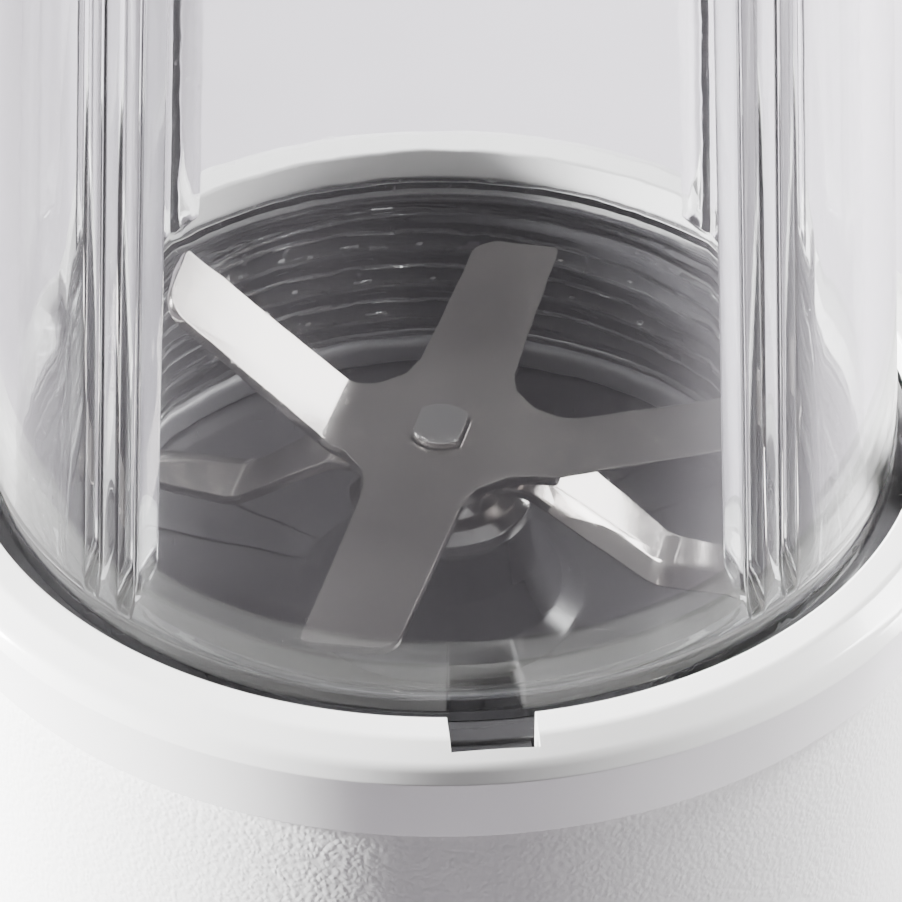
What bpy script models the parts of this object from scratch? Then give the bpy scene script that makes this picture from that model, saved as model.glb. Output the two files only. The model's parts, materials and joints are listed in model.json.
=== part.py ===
"""Personal countertop blender: an inverted clear cup screwed to a blade holder that locks on a motor base.

Lengths are in millimetres and become metres when a mesh is made. +Z is up and the front is -Y.
The origin is on the axis, at the level that the feet stand on. An azimuth is an angle from the
front towards +X, in degrees.
"""

import bmesh
import bpy
import numpy as np
from mathutils import Matrix, Vector

MM = 0.001
GAP = 0.3  # clearance between neighbouring pieces

# Driving heights
COLLAR_TOP = 190.0
CUP_TOP = 340.0
HOLDER_FLOOR = 166.0
BOSS_TOP = 177.4
WELL_FLOOR = 139.5
SWITCH_PLATE_TOP = 120.0
STATOR_BOTTOM = 70.0
STATOR_TOP = 98.0
COVER_BOTTOM = 4.0

# Driving radii
COLLAR_OPENING = 50.0
COLLAR_EDGE = 56.9
CUP_MOUTH = 47.6
CUP_WALL = 3.3
CUP_TAPER = 0.069  # radius lost for each millimetre of height
NECK_OUTER = 43.5
NECK_INNER = 40.4
HOLDER_RIM = 49.5
HOLDER_OUTER = 47.2
HOLDER_INNER = 45.0
WELL_INNER = 47.8
WELL_OUTER = 49.5
MOTOR_OUTER = 38.0
ARMATURE_RADIUS = 20.3
SHAFT_RADIUS = 3.4
MOTOR_SHAFT_RADIUS = 4.0

# Bayonet and interlock
NOTCH_AZIMUTH = 5.5
NOTCH_COUNT = 3
NOTCH_WIDTH = 8.5
NOTCH_DEPTH = 4.4
TAB_WIDTH = 7.9
TAB_TOP = 185.8
TAB_BOTTOM = 182.4
LOCK_ANGLE = 20.0
PLUNGER_TOP = 183.95
PLUNGER_RADIUS = 51.0
PLUNGER_WIDTH = 4.0
PLUNGER_THICKNESS = 1.7

# Blades
BLADE_AZIMUTH = -14.5
BLADE_THICKNESS = 1.2
UPPER_REACHES = (36.5, 35.3, 35.6, 34.6)  # front, right, back and left arm, along the flat sheet
UPPER_ROOT = 6.1
UPPER_TIP = 4.7
LOWER_ROOT = 6.0
LOWER_TIP = 3.2
GROUND_WIDTH = 2.2
GROUND_DEPTH = 0.95
LOWER_BEND = 36.0
UPPER_BLADE_TOP = 187.2
LOWER_BLADE_TOP = UPPER_BLADE_TOP - BLADE_THICKNESS - GAP
SHAFT_FLAT = 2.5  # half the width across the shaft's two flats

PARTS = "countertop_blender"
CUTTERS = "cutters"


# ---------------------------------------------------------------- scene and materials


def clear_scene():
    for obj in list(bpy.data.objects):
        bpy.data.objects.remove(obj, do_unlink=True)


def collection(name):
    found = bpy.data.collections.get(name)
    if found is None:
        found = bpy.data.collections.new(name)
        bpy.context.scene.collection.children.link(found)
    return found


def material(name, color, roughness, metallic=0.0, transmission=0.0):
    mat = bpy.data.materials.new(name)
    mat.use_nodes = True
    shader = mat.node_tree.nodes["Principled BSDF"]
    shader.inputs["Base Color"].default_value = (*color, 1.0)
    shader.inputs["Roughness"].default_value = roughness
    shader.inputs["Metallic"].default_value = metallic
    shader.inputs["Transmission Weight"].default_value = transmission
    mat.diffuse_color = (*color, 1.0)
    return mat


def finish_of(kind):
    """Colour, roughness, metallic and transmission of each finish."""
    finishes = {
        "clear": ((0.92, 0.93, 0.94), 0.06, 0.0, 0.9),
        "white_gloss": ((0.86, 0.86, 0.85), 0.18, 0.0, 0.0),
        "white_matte": ((0.80, 0.79, 0.78), 0.55, 0.0, 0.0),
        "charcoal": ((0.045, 0.045, 0.05), 0.35, 0.0, 0.0),
        "black": ((0.02, 0.02, 0.02), 0.5, 0.0, 0.0),
        "rubber": ((0.03, 0.03, 0.03), 0.8, 0.0, 0.0),
        "silicone": ((0.55, 0.55, 0.56), 0.6, 0.0, 0.0),
        "steel": ((0.48, 0.46, 0.45), 0.28, 1.0, 0.0),
        "polished": ((0.62, 0.61, 0.60), 0.12, 1.0, 0.0),
        "zinc": ((0.60, 0.61, 0.63), 0.35, 1.0, 0.0),
        "aluminium": ((0.66, 0.66, 0.67), 0.4, 1.0, 0.0),
        "lamination": ((0.22, 0.22, 0.23), 0.5, 0.8, 0.0),
        "copper": ((0.60, 0.26, 0.12), 0.35, 1.0, 0.0),
        "bronze": ((0.55, 0.38, 0.18), 0.4, 1.0, 0.0),
        "carbon": ((0.03, 0.03, 0.035), 0.6, 0.0, 0.0),
        "board": ((0.05, 0.22, 0.10), 0.5, 0.0, 0.0),
    }
    return finishes[kind]


# ---------------------------------------------------------------- shape helpers


def direction(azimuth):
    """Unit vector pointing out at an azimuth."""
    a = np.radians(azimuth)
    return np.array([np.sin(a), -np.cos(a)])


def turn(azimuth):
    """Matrix that carries +X to an azimuth."""
    return Matrix.Rotation(np.radians(azimuth - 90.0), 4, "Z")


def add_object(name, mesh, kind, smooth_angle=35.0):
    obj = bpy.data.objects.new(name, mesh)
    if kind is None:
        collection(CUTTERS).objects.link(obj)
        obj.hide_render = True
        obj.display_type = "WIRE"
        return obj
    collection(PARTS).objects.link(obj)
    mesh.materials.clear()
    mesh.materials.append(material(name, *finish_of(kind)))
    if mesh.polygons:
        mesh.shade_smooth()
        mesh.set_sharp_from_angle(angle=np.radians(smooth_angle))
    return obj


def turned(name, profile, kind, segments=48, level=0.0):
    """A body of revolution: the profile of (radius, height) runs down its outer side.

    A profile that starts and ends on the axis makes a solid. Any other one is closed into a ring.
    """
    points = np.array([(r, 0.0, z - level) for r, z in profile]) * MM
    count = len(points)
    edges = [(i, i + 1) for i in range(count - 1)]
    if profile[0][0] > 0.0 or profile[-1][0] > 0.0:
        edges.append((count - 1, 0))
    mesh = bpy.data.meshes.new(name)
    mesh.from_pydata(points.tolist(), edges, [])
    obj = add_object(name, mesh, kind)
    obj.location.z = level * MM
    screw = obj.modifiers.new("turn", "SCREW")
    screw.axis = "Z"
    screw.angle = 2.0 * np.pi
    screw.steps = segments
    screw.render_steps = segments
    screw.use_merge_vertices = True
    screw.merge_threshold = 0.00002
    screw.use_smooth_shade = True
    return obj


def ring(name, inner, outer, bottom, top, kind, segments=48, level=0.0):
    """A plain ring between two radii and two heights."""
    profile = [(inner, top), (outer, top), (outer, bottom), (inner, bottom)]
    return turned(name, profile, kind, segments, level)


def rod(name, radius, bottom, top, kind, centre=(0.0, 0.0), segments=24):
    """An upright cylinder."""
    bm = bmesh.new()
    bmesh.ops.create_cone(
        bm, cap_ends=True, cap_tris=False, segments=segments,
        radius1=radius * MM, radius2=radius * MM, depth=(top - bottom) * MM,
    )
    mesh = bpy.data.meshes.new(name)
    bm.to_mesh(mesh)
    bm.free()
    obj = add_object(name, mesh, kind)
    obj.location = (centre[0] * MM, centre[1] * MM, (top + bottom) / 2 * MM)
    return obj


def block(name, low, high, kind, azimuth=90.0, bevel=0.0):
    """A box from one corner to the other: X outwards, Y across and Z up, turned to an azimuth."""
    low, high = np.array(low), np.array(high)
    bm = bmesh.new()
    bmesh.ops.create_cube(bm, size=1.0)
    bmesh.ops.scale(bm, vec=Vector((high - low) * MM), verts=bm.verts)
    bmesh.ops.translate(bm, vec=Vector((high + low) / 2 * MM), verts=bm.verts)
    bm.transform(turn(azimuth))
    mesh = bpy.data.meshes.new(name)
    bm.to_mesh(mesh)
    bm.free()
    obj = add_object(name, mesh, kind)
    if bevel:
        edge = obj.modifiers.new("edges", "BEVEL")
        edge.width = bevel * MM
        edge.segments = 1
        edge.limit_method = "ANGLE"
    return obj


def plate(name, outlines, bottom, top, kind, level=None):
    """A flat sheet with the outline first and any holes after it."""
    curve = bpy.data.curves.new(name, "CURVE")
    curve.dimensions = "2D"
    curve.fill_mode = "BOTH"
    curve.extrude = (top - bottom) / 2 * MM
    for outline in outlines:
        spline = curve.splines.new("POLY")
        spline.points.add(len(outline) - 1)
        flat = np.zeros((len(outline), 4))
        flat[:, :2] = np.array(outline) * MM
        flat[:, 3] = 1.0
        spline.points.foreach_set("co", flat.ravel())
        spline.use_cyclic_u = True
    drawn = bpy.data.objects.new(name + "_outline", curve)
    bpy.context.scene.collection.objects.link(drawn)
    mesh = solid_mesh(drawn)
    bpy.data.objects.remove(drawn, do_unlink=True)
    level = (top + bottom) / 2 if level is None else level
    mesh.transform(Matrix.Translation((0, 0, ((top + bottom) / 2 - level) * MM)))
    obj = add_object(name, mesh, kind)
    obj.location.z = level * MM
    return obj


def solid_mesh(obj):
    """The evaluated object as one welded mesh."""
    bpy.context.view_layer.update()
    seen = obj.evaluated_get(bpy.context.evaluated_depsgraph_get())
    mesh = bpy.data.meshes.new_from_object(seen)
    bm = bmesh.new()
    bm.from_mesh(mesh)
    bmesh.ops.remove_doubles(bm, verts=bm.verts, dist=0.000005)
    bmesh.ops.recalc_face_normals(bm, faces=bm.faces)
    bm.to_mesh(mesh)
    bm.free()
    return mesh


def combine(obj, operation, others):
    """Cut other objects out of one, or join them to it."""
    for other in others:
        step = obj.modifiers.new(operation.lower() + "_" + other.name, "BOOLEAN")
        step.operation = operation
        step.object = other
        step.solver = "EXACT"
    return obj


def cut(obj, *cutters):
    return combine(obj, "DIFFERENCE", cutters)


def join(obj, *additions):
    return combine(obj, "UNION", additions)


def across_y(obj, height, start):
    """Lay an upright object down along +Y, with its z = 0 end at y = start."""
    obj.rotation_euler.x = -np.pi / 2
    obj.location = (0.0, start * MM, height * MM)
    return obj


def arc(centre, radius, start, end, steps):
    """Points of an arc, as (x, y) or (radius, height), with its angles in degrees."""
    angles = np.radians(np.linspace(start, end, steps + 1))
    return [(centre[0] + radius * np.cos(a), centre[1] + radius * np.sin(a)) for a in angles]


def circle(radius, steps, centre=(0.0, 0.0)):
    return arc(centre, radius, 0.0, 360.0, steps)[:-1]


def double_d(radius, flat, azimuth, steps=6):
    """Circle with two flats; the flats are parallel to the azimuth's direction."""
    limit = np.degrees(np.arcsin(flat / radius))
    half = arc((0, 0), radius, -limit, limit, steps)
    outline = half + [(-x, -y) for x, y in half]
    return rotate(outline, azimuth)


def rotate(points, azimuth):
    """Turn points drawn along +X to an azimuth."""
    a = np.radians(azimuth - 90.0)
    matrix = np.array([[np.cos(a), -np.sin(a)], [np.sin(a), np.cos(a)]])
    return [tuple(matrix @ np.array(p)) for p in points]


def sector(name, inner, outer, start, end, bottom, top, kind=None):
    """A curved block between two azimuths."""
    steps = 8
    points = arc((0, 0), outer, start - 90.0, end - 90.0, steps)
    points += arc((0, 0), inner, end - 90.0, start - 90.0, steps)
    return plate(name, [points], bottom, top, kind)


def notch_azimuths():
    return [NOTCH_AZIMUTH + 360.0 / NOTCH_COUNT * i for i in range(NOTCH_COUNT)]


def post_azimuths():
    """Azimuths of the three posts that the motor hangs from, midway between the switches."""
    return [azimuth - LOCK_ANGLE + 180.0 / NOTCH_COUNT for azimuth in notch_azimuths()]


# ---------------------------------------------------------------- cup


def cup_outer(z):
    return CUP_MOUTH - CUP_TAPER * (z - COLLAR_TOP)


def make_cup():
    crown = 9.0  # radius of the rounded closed end
    top_radius = cup_outer(CUP_TOP - crown)
    inside_top = CUP_TOP - CUP_WALL - 0.6
    profile = [(0.0, CUP_TOP)]
    profile += arc((top_radius - crown, CUP_TOP - crown), crown, 90.0, 0.0, 4)
    profile += [
        (cup_outer(260.0), 260.0),
        (CUP_MOUTH, COLLAR_TOP),
        (CUP_MOUTH, 187.3),
        (CUP_MOUTH - 0.5, 186.7),
        (NECK_OUTER, 186.7),
        (NECK_OUTER, HOLDER_FLOOR + 4.5),
        (NECK_OUTER - 0.8, HOLDER_FLOOR + 3.7),
        (NECK_INNER + 0.6, HOLDER_FLOOR + 3.7),
        (NECK_INNER, HOLDER_FLOOR + 4.3),
        (NECK_INNER, 186.7),
        (CUP_MOUTH - CUP_WALL, 188.1),
        (cup_outer(260.0) - CUP_WALL, 260.0),
    ]
    inner_crown = crown - CUP_WALL
    inner_radius = cup_outer(inside_top - inner_crown) - CUP_WALL
    profile += arc((inner_radius - inner_crown, inside_top - inner_crown), inner_crown, 0.0, 90.0, 3)
    profile += [(0.0, inside_top)]
    cup = turned("cup", profile, "clear", 40, COLLAR_TOP)
    return join(cup, *[fin(azimuth, side) for azimuth in (43.0, 137.0, 223.0, 317.0) for side in (-1, 1)])


def fin(azimuth, side):
    """One of the two fins of a rib inside the cup, with a slanted lower end."""
    spacing, thickness, depth = 6.4, 1.8, 3.4
    low, high = COLLAR_TOP - 0.6, CUP_TOP - 14.0

    def wall(z):
        return cup_outer(z) - CUP_WALL

    outline = [
        (wall(low) + 1.0, low),
        (wall(low) - 0.2, low),
        (wall(low + 4.0) - depth, low + 4.0),
        (wall(high - 6.0) - depth, high - 6.0),
        (wall(high) - 0.2, high),
        (wall(high) + 1.0, high),
    ]
    name = f"fin_{int(azimuth)}_{side + 1}"
    shape = plate(name, [outline], -thickness / 2, thickness / 2, None, level=0.0)
    shape.data.transform(Matrix.Rotation(np.pi / 2, 4, "X"))
    shape.data.transform(Matrix.Translation((0, side * spacing / 2 * MM, 0)))
    shape.data.transform(turn(azimuth))
    return shape


# ---------------------------------------------------------------- blade holder and its fittings


def make_blade_holder():
    foot = 145.5
    floor_under = HOLDER_FLOOR - 3.0
    profile = [
        (HOLDER_RIM - 0.4, 186.3),
        (HOLDER_RIM, 185.9),
        (HOLDER_RIM, 181.2),
        (HOLDER_OUTER, 180.0),
        (HOLDER_OUTER, foot),
        (HOLDER_INNER, foot),
        (HOLDER_INNER, floor_under),
        (7.3, floor_under),
        (7.3, BOSS_TOP),
        (9.2, BOSS_TOP),
        (10.6, BOSS_TOP - 5.4),
        (13.0, HOLDER_FLOOR + 1.6),
        (15.5, HOLDER_FLOOR),
        (HOLDER_INNER - 1.0, HOLDER_FLOOR),
        (HOLDER_INNER, HOLDER_FLOOR + 1.0),
        (HOLDER_INNER, 186.0),
        (HOLDER_INNER + 0.3, 186.3),
    ]
    holder = turned("blade_holder", profile, "charcoal", 40, HOLDER_FLOOR)
    return join(holder, *[holder_tab(azimuth) for azimuth in notch_azimuths()])


def holder_tab(azimuth):
    """A locking tab whose lower leading edge is sloped, drawn from the front and pushed outwards."""
    half = TAB_WIDTH / 2
    ramp, rise = 3.0, 1.2
    outline = [
        (-half, TAB_BOTTOM + rise),
        (-half + ramp, TAB_BOTTOM),
        (half, TAB_BOTTOM),
        (half, TAB_TOP),
        (-half, TAB_TOP),
    ]
    reach = 54.0
    root = HOLDER_RIM - 1.0
    shape = plate(f"tab_{int(azimuth)}", [outline], root, reach, None, level=0.0)
    # The outline's X runs across the tab and its Y runs up; the sheet's own Z points out.
    axes = Matrix(((0, 0, 1, 0), (1, 0, 0, 0), (0, 1, 0, 0), (0, 0, 0, 1)))
    shape.data.transform(axes)
    shape.data.transform(turn(azimuth))
    return shape


def make_holder_fittings():
    ring("holder_gasket", NECK_INNER - 0.2, HOLDER_INNER - 1.2, HOLDER_FLOOR + GAP, HOLDER_FLOOR + 3.4,
         "silicone", 32, HOLDER_FLOOR)
    neck = 7.0
    bore = 5.2
    crown = BOSS_TOP + 4.1
    profile = [
        (3.8, crown),
        (6.2, crown),
        (7.2, crown - 0.9),
        (8.6, crown - 1.3),
        (9.8, crown - 2.3),
        (9.8, BOSS_TOP + GAP),
        (neck, BOSS_TOP + GAP),
        (neck, 157.5),
        (bore, 157.5),
        (bore, crown - 0.8),
        (3.8, crown - 0.8),
    ]
    turned("bearing_housing", profile, "polished", 20, HOLDER_FLOOR)
    ring("upper_bush", SHAFT_RADIUS + 0.1, bore - 0.1, 168.0, 176.5, "bronze", 16, 168.0)
    ring("lower_bush", SHAFT_RADIUS + 0.1, bore - 0.1, 158.0, 165.0, "bronze", 16, 158.0)
    ring("shaft_seal", SHAFT_RADIUS + 0.1, bore - 0.1, 176.9, 180.4, "rubber", 16, 176.9)
    hexagon = circle(12.5, 6)
    plate("housing_nut", [hexagon, circle(neck + GAP, 24)], 158.6, HOLDER_FLOOR - 3.0 - GAP, "zinc")


# ---------------------------------------------------------------- spindle


def make_blade_shaft():
    profile = [
        (0.0, 188.2),
        (2.9, 188.2),
        (SHAFT_RADIUS, 187.8),
        (SHAFT_RADIUS, 157.0),
        (2.6, 156.9),
        (2.6, 155.9),
        (SHAFT_RADIUS, 155.8),
        (SHAFT_RADIUS, 152.8),
        (0.0, 152.8),
    ]
    shaft = turned("blade_shaft", profile, "polished", 20, 152.8)
    far = 6.0
    sides = []
    for side in (-1, 1):
        low = (-far, min(side * SHAFT_FLAT, side * far), 182.0)
        high = (far, max(side * SHAFT_FLAT, side * far), 189.0)
        sides.append(block(f"flat_{side + 1}", low, high, None, BLADE_AZIMUTH))
    cut(shaft, *sides)


def shaft_hole():
    return double_d(SHAFT_RADIUS + 0.2, SHAFT_FLAT + 0.2, BLADE_AZIMUTH)


def arm_outline(root, tip, reach, leading_round):
    """One arm along +X, from its right root fillet to its left one, with one rounded tip corner."""
    corner = 0.8
    outline = [(root + 2.6, -root), (root + 5.5, -root + 0.9)]
    outline += arc((reach - corner, -tip + corner), corner, -90.0, 0.0, 2)
    outline += arc((reach - 0.6 - leading_round, tip - leading_round), leading_round, 0.0, 90.0, 4)
    outline += [(root + 5.5, root - 0.9), (root + 2.6, root)]
    return outline


def ground_edge(azimuth, root, tip, reach, face, facing):
    """A cutter that slopes the sharp edge of an arm, with the sheet's upper (1) or lower (-1) face facing it."""
    start, end = root + 7.5, reach + 1.0
    run = reach - root - 6.3
    slope = (tip - root + 0.9) / run
    points = []
    for along in (start, end):
        edge = -(root - 0.9 + slope * (along - root - 5.5))
        for across, height in ((GROUND_WIDTH, 0.0), (-1.0, -GROUND_DEPTH * (1.0 + 1.0 / GROUND_WIDTH)), (-1.0, 1.0),
                               (GROUND_WIDTH, 1.0)):
            points.append((along, edge + across, face + facing * height))
    mesh = bpy.data.meshes.new("ground_edge")
    mesh.from_pydata([tuple(np.array(point) * MM) for point in points], [],
                     [(0, 1, 2, 3), (7, 6, 5, 4), (0, 4, 5, 1), (1, 5, 6, 2), (2, 6, 7, 3), (3, 7, 4, 0)])
    mesh.transform(turn(azimuth))
    bm = bmesh.new()
    bm.from_mesh(mesh)
    bmesh.ops.recalc_face_normals(bm, faces=bm.faces)
    bm.to_mesh(mesh)
    bm.free()
    return add_object("ground_edge", mesh, None)


def fold(obj, level, start, angle, azimuth, bend=3.0, steps=3):
    """Bend a sheet of a middle height up by an angle, in a few equal creases that start at a distance."""
    bm = bmesh.new()
    bm.from_mesh(obj.data)
    out = Vector((*direction(azimuth), 0.0))
    side = Vector((0, 0, 1)).cross(out)
    turn_up = Matrix.Rotation(-np.radians(angle) / steps, 3, side)
    pivot = out * (start * MM) + Vector((0, 0, level * MM - obj.location.z))
    heading = out.copy()
    for _ in range(steps):
        geometry = list(bm.verts) + list(bm.edges) + list(bm.faces)
        bmesh.ops.bisect_plane(bm, geom=geometry, plane_co=pivot, plane_no=heading, dist=1e-7)
        beyond = [v for v in bm.verts if (v.co - pivot).dot(heading) > 1e-6 and v.co.dot(out) > 0]
        bmesh.ops.rotate(bm, cent=pivot, matrix=turn_up, verts=beyond)
        heading = turn_up @ heading
        pivot = pivot + heading * (bend / steps * MM)
    bm.to_mesh(obj.data)
    bm.free()
    obj.data.shade_smooth()
    obj.data.set_sharp_from_angle(angle=np.radians(35.0))


def make_blades():
    """The upper cross has two flat arms and two bent up; the lower blade's arms bend down and level out."""
    outline, grinders = [], []
    top, bottom = UPPER_BLADE_TOP, UPPER_BLADE_TOP - BLADE_THICKNESS
    for arm, reach in enumerate(UPPER_REACHES):
        azimuth = BLADE_AZIMUTH + 90.0 * arm
        outline += rotate(arm_outline(UPPER_ROOT, UPPER_TIP, reach, 3.2), azimuth)
        grinders.append(ground_edge(azimuth, UPPER_ROOT, UPPER_TIP, reach, bottom, -1))
    upper = plate("upper_blade", [outline, shaft_hole()], bottom, top, "steel")
    cut(upper, *grinders)
    middle = (top + bottom) / 2
    fold(upper, middle, 12.0, 21.0, BLADE_AZIMUTH + 90.0)
    fold(upper, middle, 9.8, 39.0, BLADE_AZIMUTH - 90.0)

    arms = ((BLADE_AZIMUTH + 90.0, 38.6, 26.5), (BLADE_AZIMUTH - 90.0, 37.3, 23.7))
    outline, grinders = [], []
    top, bottom = LOWER_BLADE_TOP, LOWER_BLADE_TOP - BLADE_THICKNESS
    for azimuth, reach, _ in arms:
        outline += rotate(arm_outline(LOWER_ROOT, LOWER_TIP, reach, 2.4), azimuth)
        grinders.append(ground_edge(azimuth, LOWER_ROOT, LOWER_TIP, reach, top, 1))
    lower = plate("lower_blade", [outline, shaft_hole()], bottom, top, "steel")
    cut(lower, *grinders)
    middle = (top + bottom) / 2
    for azimuth, _, trough in arms:
        fold(lower, middle, trough, LOWER_BEND, azimuth)
        fold(lower, middle, 8.6, -LOWER_BEND, azimuth)


def star(radius, lobe, steps=36):
    """Six rounded lobes round a circle."""
    angles = np.linspace(0.0, 2.0 * np.pi, steps, endpoint=False)
    reach = radius + lobe * np.cos(6 * angles)
    return list(zip(reach * np.cos(angles), reach * np.sin(angles)))


def make_couplings():
    lobe = 1.2
    socket_top = 152.4
    driven = turned("driven_coupling", [
        (SHAFT_RADIUS + 0.2, 155.6), (8.0, 155.6), (9.0, 154.6), (13.2, 154.2), (14.0, 153.2),
        (14.0, 146.0), (SHAFT_RADIUS + 0.2, 146.0),
    ], "black", 24, 146.0)
    cut(driven, plate("socket", [star(8.9, lobe)], 145.0, socket_top, None))

    drive = turned("drive_coupling", [
        (0.0, 145.0), (13.0, 145.0), (14.0, 144.2), (14.0, 142.4), (6.6, 142.2), (6.6, 138.0),
        (MOTOR_SHAFT_RADIUS + GAP, 138.0), (MOTOR_SHAFT_RADIUS + GAP, 144.0), (0.0, 144.0),
    ], "black", 24, 138.0)
    join(drive, plate("drive_star", [star(8.4, lobe)], 144.5, socket_top - 0.5, None))


def make_spindle_fittings():
    ring("blade_spacer", SHAFT_RADIUS + 0.2, 6.0, 182.0, LOWER_BLADE_TOP - BLADE_THICKNESS - GAP,
         "polished", 16, 182.0)
    opening = 28.0
    outline = arc((0, 0), 5.4, opening, 360.0 - opening, 16)
    outline += arc((0, 0), 2.8, 360.0 - opening, opening, 12)
    plate("retaining_clip", [outline], 156.1, 156.7, "zinc")


# ---------------------------------------------------------------- base shells


def make_top_collar():
    under = COLLAR_TOP - 10.3
    profile = [
        (COLLAR_OPENING + 0.4, COLLAR_TOP),
        (53.0, COLLAR_TOP - 0.1),
        (54.7, COLLAR_TOP - 0.5),
        (56.0, COLLAR_TOP - 1.4),
        (COLLAR_EDGE, COLLAR_TOP - 2.8),
        (COLLAR_EDGE - 1.0, under),
        (COLLAR_OPENING, under),
        (COLLAR_OPENING, COLLAR_TOP - 0.4),
    ]
    collar = turned("top_collar", profile, "white_gloss", 40, COLLAR_TOP)
    groove_floor = TAB_BOTTOM - 0.4
    groove_roof = TAB_TOP + 0.4
    reach = COLLAR_OPENING + NOTCH_DEPTH
    half = NOTCH_WIDTH / 2
    half_angle = np.degrees(half / reach)
    cutters = []
    for i, azimuth in enumerate(notch_azimuths()):
        cutters.append(block(f"notch_{i}", (45.0, -half, groove_floor), (reach, half, 192.0), None, azimuth))
        cutters.append(sector(f"groove_{i}", 48.0, reach, azimuth - LOCK_ANGLE - half_angle - 0.5, azimuth,
                              groove_floor, groove_roof))
        cutters.append(plunger_slot(f"collar_slot_{i}", azimuth, under - 2.0, groove_floor + 1.0))
    return cut(collar, *cutters)


def plunger_slot(name, azimuth, bottom, top):
    half = PLUNGER_WIDTH / 2 + GAP
    inner = PLUNGER_RADIUS - PLUNGER_THICKNESS / 2 - 0.25
    return block(name, (inner, -half, bottom), (54.0, half, top), None, azimuth - LOCK_ANGLE)


def make_cup_well():
    flange_top = COLLAR_TOP - 10.3 - GAP
    floor_under = WELL_FLOOR - 2.5
    profile = [
        (WELL_INNER + 0.8, flange_top),
        (51.8, flange_top),
        (51.8, flange_top - 1.8),
        (WELL_OUTER, flange_top - 1.8),
        (WELL_OUTER, WELL_FLOOR),
        (53.2, WELL_FLOOR),
        (53.2, floor_under),
        (8.0, floor_under),
        (8.0, WELL_FLOOR + 1.8),
        (9.6, WELL_FLOOR + 1.8),
        (9.6, WELL_FLOOR),
        (WELL_INNER - 1.5, WELL_FLOOR),
        (WELL_INNER, WELL_FLOOR + 1.5),
        (WELL_INNER, flange_top - 0.8),
    ]
    well = turned("cup_well", profile, "charcoal", 32, WELL_FLOOR)
    posts, holes = [], []
    for i, azimuth in enumerate(post_azimuths()):
        x, y = 44.5 * direction(azimuth)
        posts.append(rod(f"post_{i}", 4.2, SWITCH_PLATE_TOP + GAP, floor_under + 1.0, None, (x, y), 16))
        holes.append(rod(f"post_hole_{i}", 2.2, SWITCH_PLATE_TOP - 1.0, 133.0, None, (x, y), 12))
    for i, azimuth in enumerate(notch_azimuths()):
        holes.append(plunger_slot(f"well_top_slot_{i}", azimuth, flange_top - 3.0, flange_top + 1.0))
        holes.append(plunger_slot(f"well_low_slot_{i}", azimuth, floor_under - 1.0, WELL_FLOOR + 1.0))
    join(well, *posts)
    return cut(well, *holes)


def make_housing_shell():
    top = COLLAR_TOP - 10.3 - 0.5
    foot = COVER_BOTTOM + 1.0
    wall = 2.3
    outer = [(54.4, top), (56.4, 140.0), (59.7, 105.0), (67.2, 32.0), (68.6, 14.0), (67.8, foot)]
    inner = [(r - wall, z) for r, z in reversed(outer[1:-1])]
    profile = [(54.4 - wall + 0.1, top), *outer, (outer[-1][0] - wall, foot), *inner]
    shell = turned("housing_shell", profile, "white_matte", 40, 0.0)
    bosses, holes = [], []
    for i, azimuth in enumerate(screw_azimuths()):
        x, y = 60.2 * direction(azimuth)
        bosses.append(rod(f"boss_{i}", 4.4, 13.0, 44.0, None, (x, y), 16))
        holes.append(rod(f"boss_hole_{i}", 2.0, 12.0, 34.0, None, (x, y), 12))
    join(shell, *bosses)
    recess = across_y(rod("inlet_recess", 8.3, 0.0, 9.0, None, segments=32), 34.0, 66.4 + 4.5)
    hole = across_y(rod("inlet_hole", 5.6, 0.0, 20.0, None, segments=24), 34.0, 60.0 + 10.0)
    return cut(shell, *holes, recess, hole)


def screw_azimuths():
    return [60.0, 180.0 - 28.0, 300.0]


def foot_places():
    reach = 41.0
    return {"front_left": (-reach, -reach), "front_right": (reach, -reach),
            "back_left": (-reach, reach), "back_right": (reach, reach)}


def make_bottom_cover():
    edge = 64.8
    profile = [
        (0.0, COVER_BOTTOM + 2.6),
        (edge - 2.2, COVER_BOTTOM + 2.6),
        (edge - 2.2, COVER_BOTTOM + 7.0),
        (edge, COVER_BOTTOM + 7.0),
        (edge, COVER_BOTTOM),
        (0.0, COVER_BOTTOM),
    ]
    cover = turned("bottom_cover", profile, "charcoal", 28, COVER_BOTTOM)
    holes = []
    for i, azimuth in enumerate(screw_azimuths()):
        x, y = 60.2 * direction(azimuth)
        holes.append(rod(f"cover_hole_{i}", 2.3, 0.0, 12.0, None, (x, y), 16))
    for place, (x, y) in foot_places().items():
        holes.append(rod(f"foot_hole_{place}", 3.3, 0.0, 12.0, None, (x, y), 16))
    for i in range(8):
        azimuth = 22.5 + 45.0 * i
        holes.append(block(f"vent_{i}", (14.0, -1.6, 0.0), (32.0, 1.6, 12.0), None, azimuth))
    return cut(cover, *holes)


def make_feet_and_screws():
    under = COVER_BOTTOM - GAP
    for place, (x, y) in foot_places().items():
        foot = turned(f"foot_{place}", [
            (0.0, 9.0), (2.6, 9.0), (3.0, 8.4), (3.0, under), (9.0, under), (9.0, 1.2), (8.2, 0.0), (0.0, 0.0),
        ], "rubber", 16)
        foot.location = (x * MM, y * MM, 0.0)
    for i, azimuth in enumerate(screw_azimuths()):
        x, y = 60.2 * direction(azimuth)
        screw = turned(f"cover_screw_{i + 1}", [
            (0.0, 30.0), (1.7, 28.0), (1.7, COVER_BOTTOM - GAP), (3.9, COVER_BOTTOM - GAP), (3.9, 2.6),
            (3.0, 1.6), (0.0, 1.6),
        ], "zinc", 12)
        screw.location = (x * MM, y * MM, 0.0)


def make_cord_inlet():
    bore = 3.5
    inlet = turned("cord_inlet", [
        (bore, 5.4), (7.2, 5.4), (8.0, 4.6), (8.0, 3.6), (5.2, 3.6), (5.2, 0.0), (6.4, 0.0), (6.4, -1.6),
        (bore, -1.6),
    ], "rubber", 16)
    across_y(inlet, 34.0, 63.1)


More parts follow.
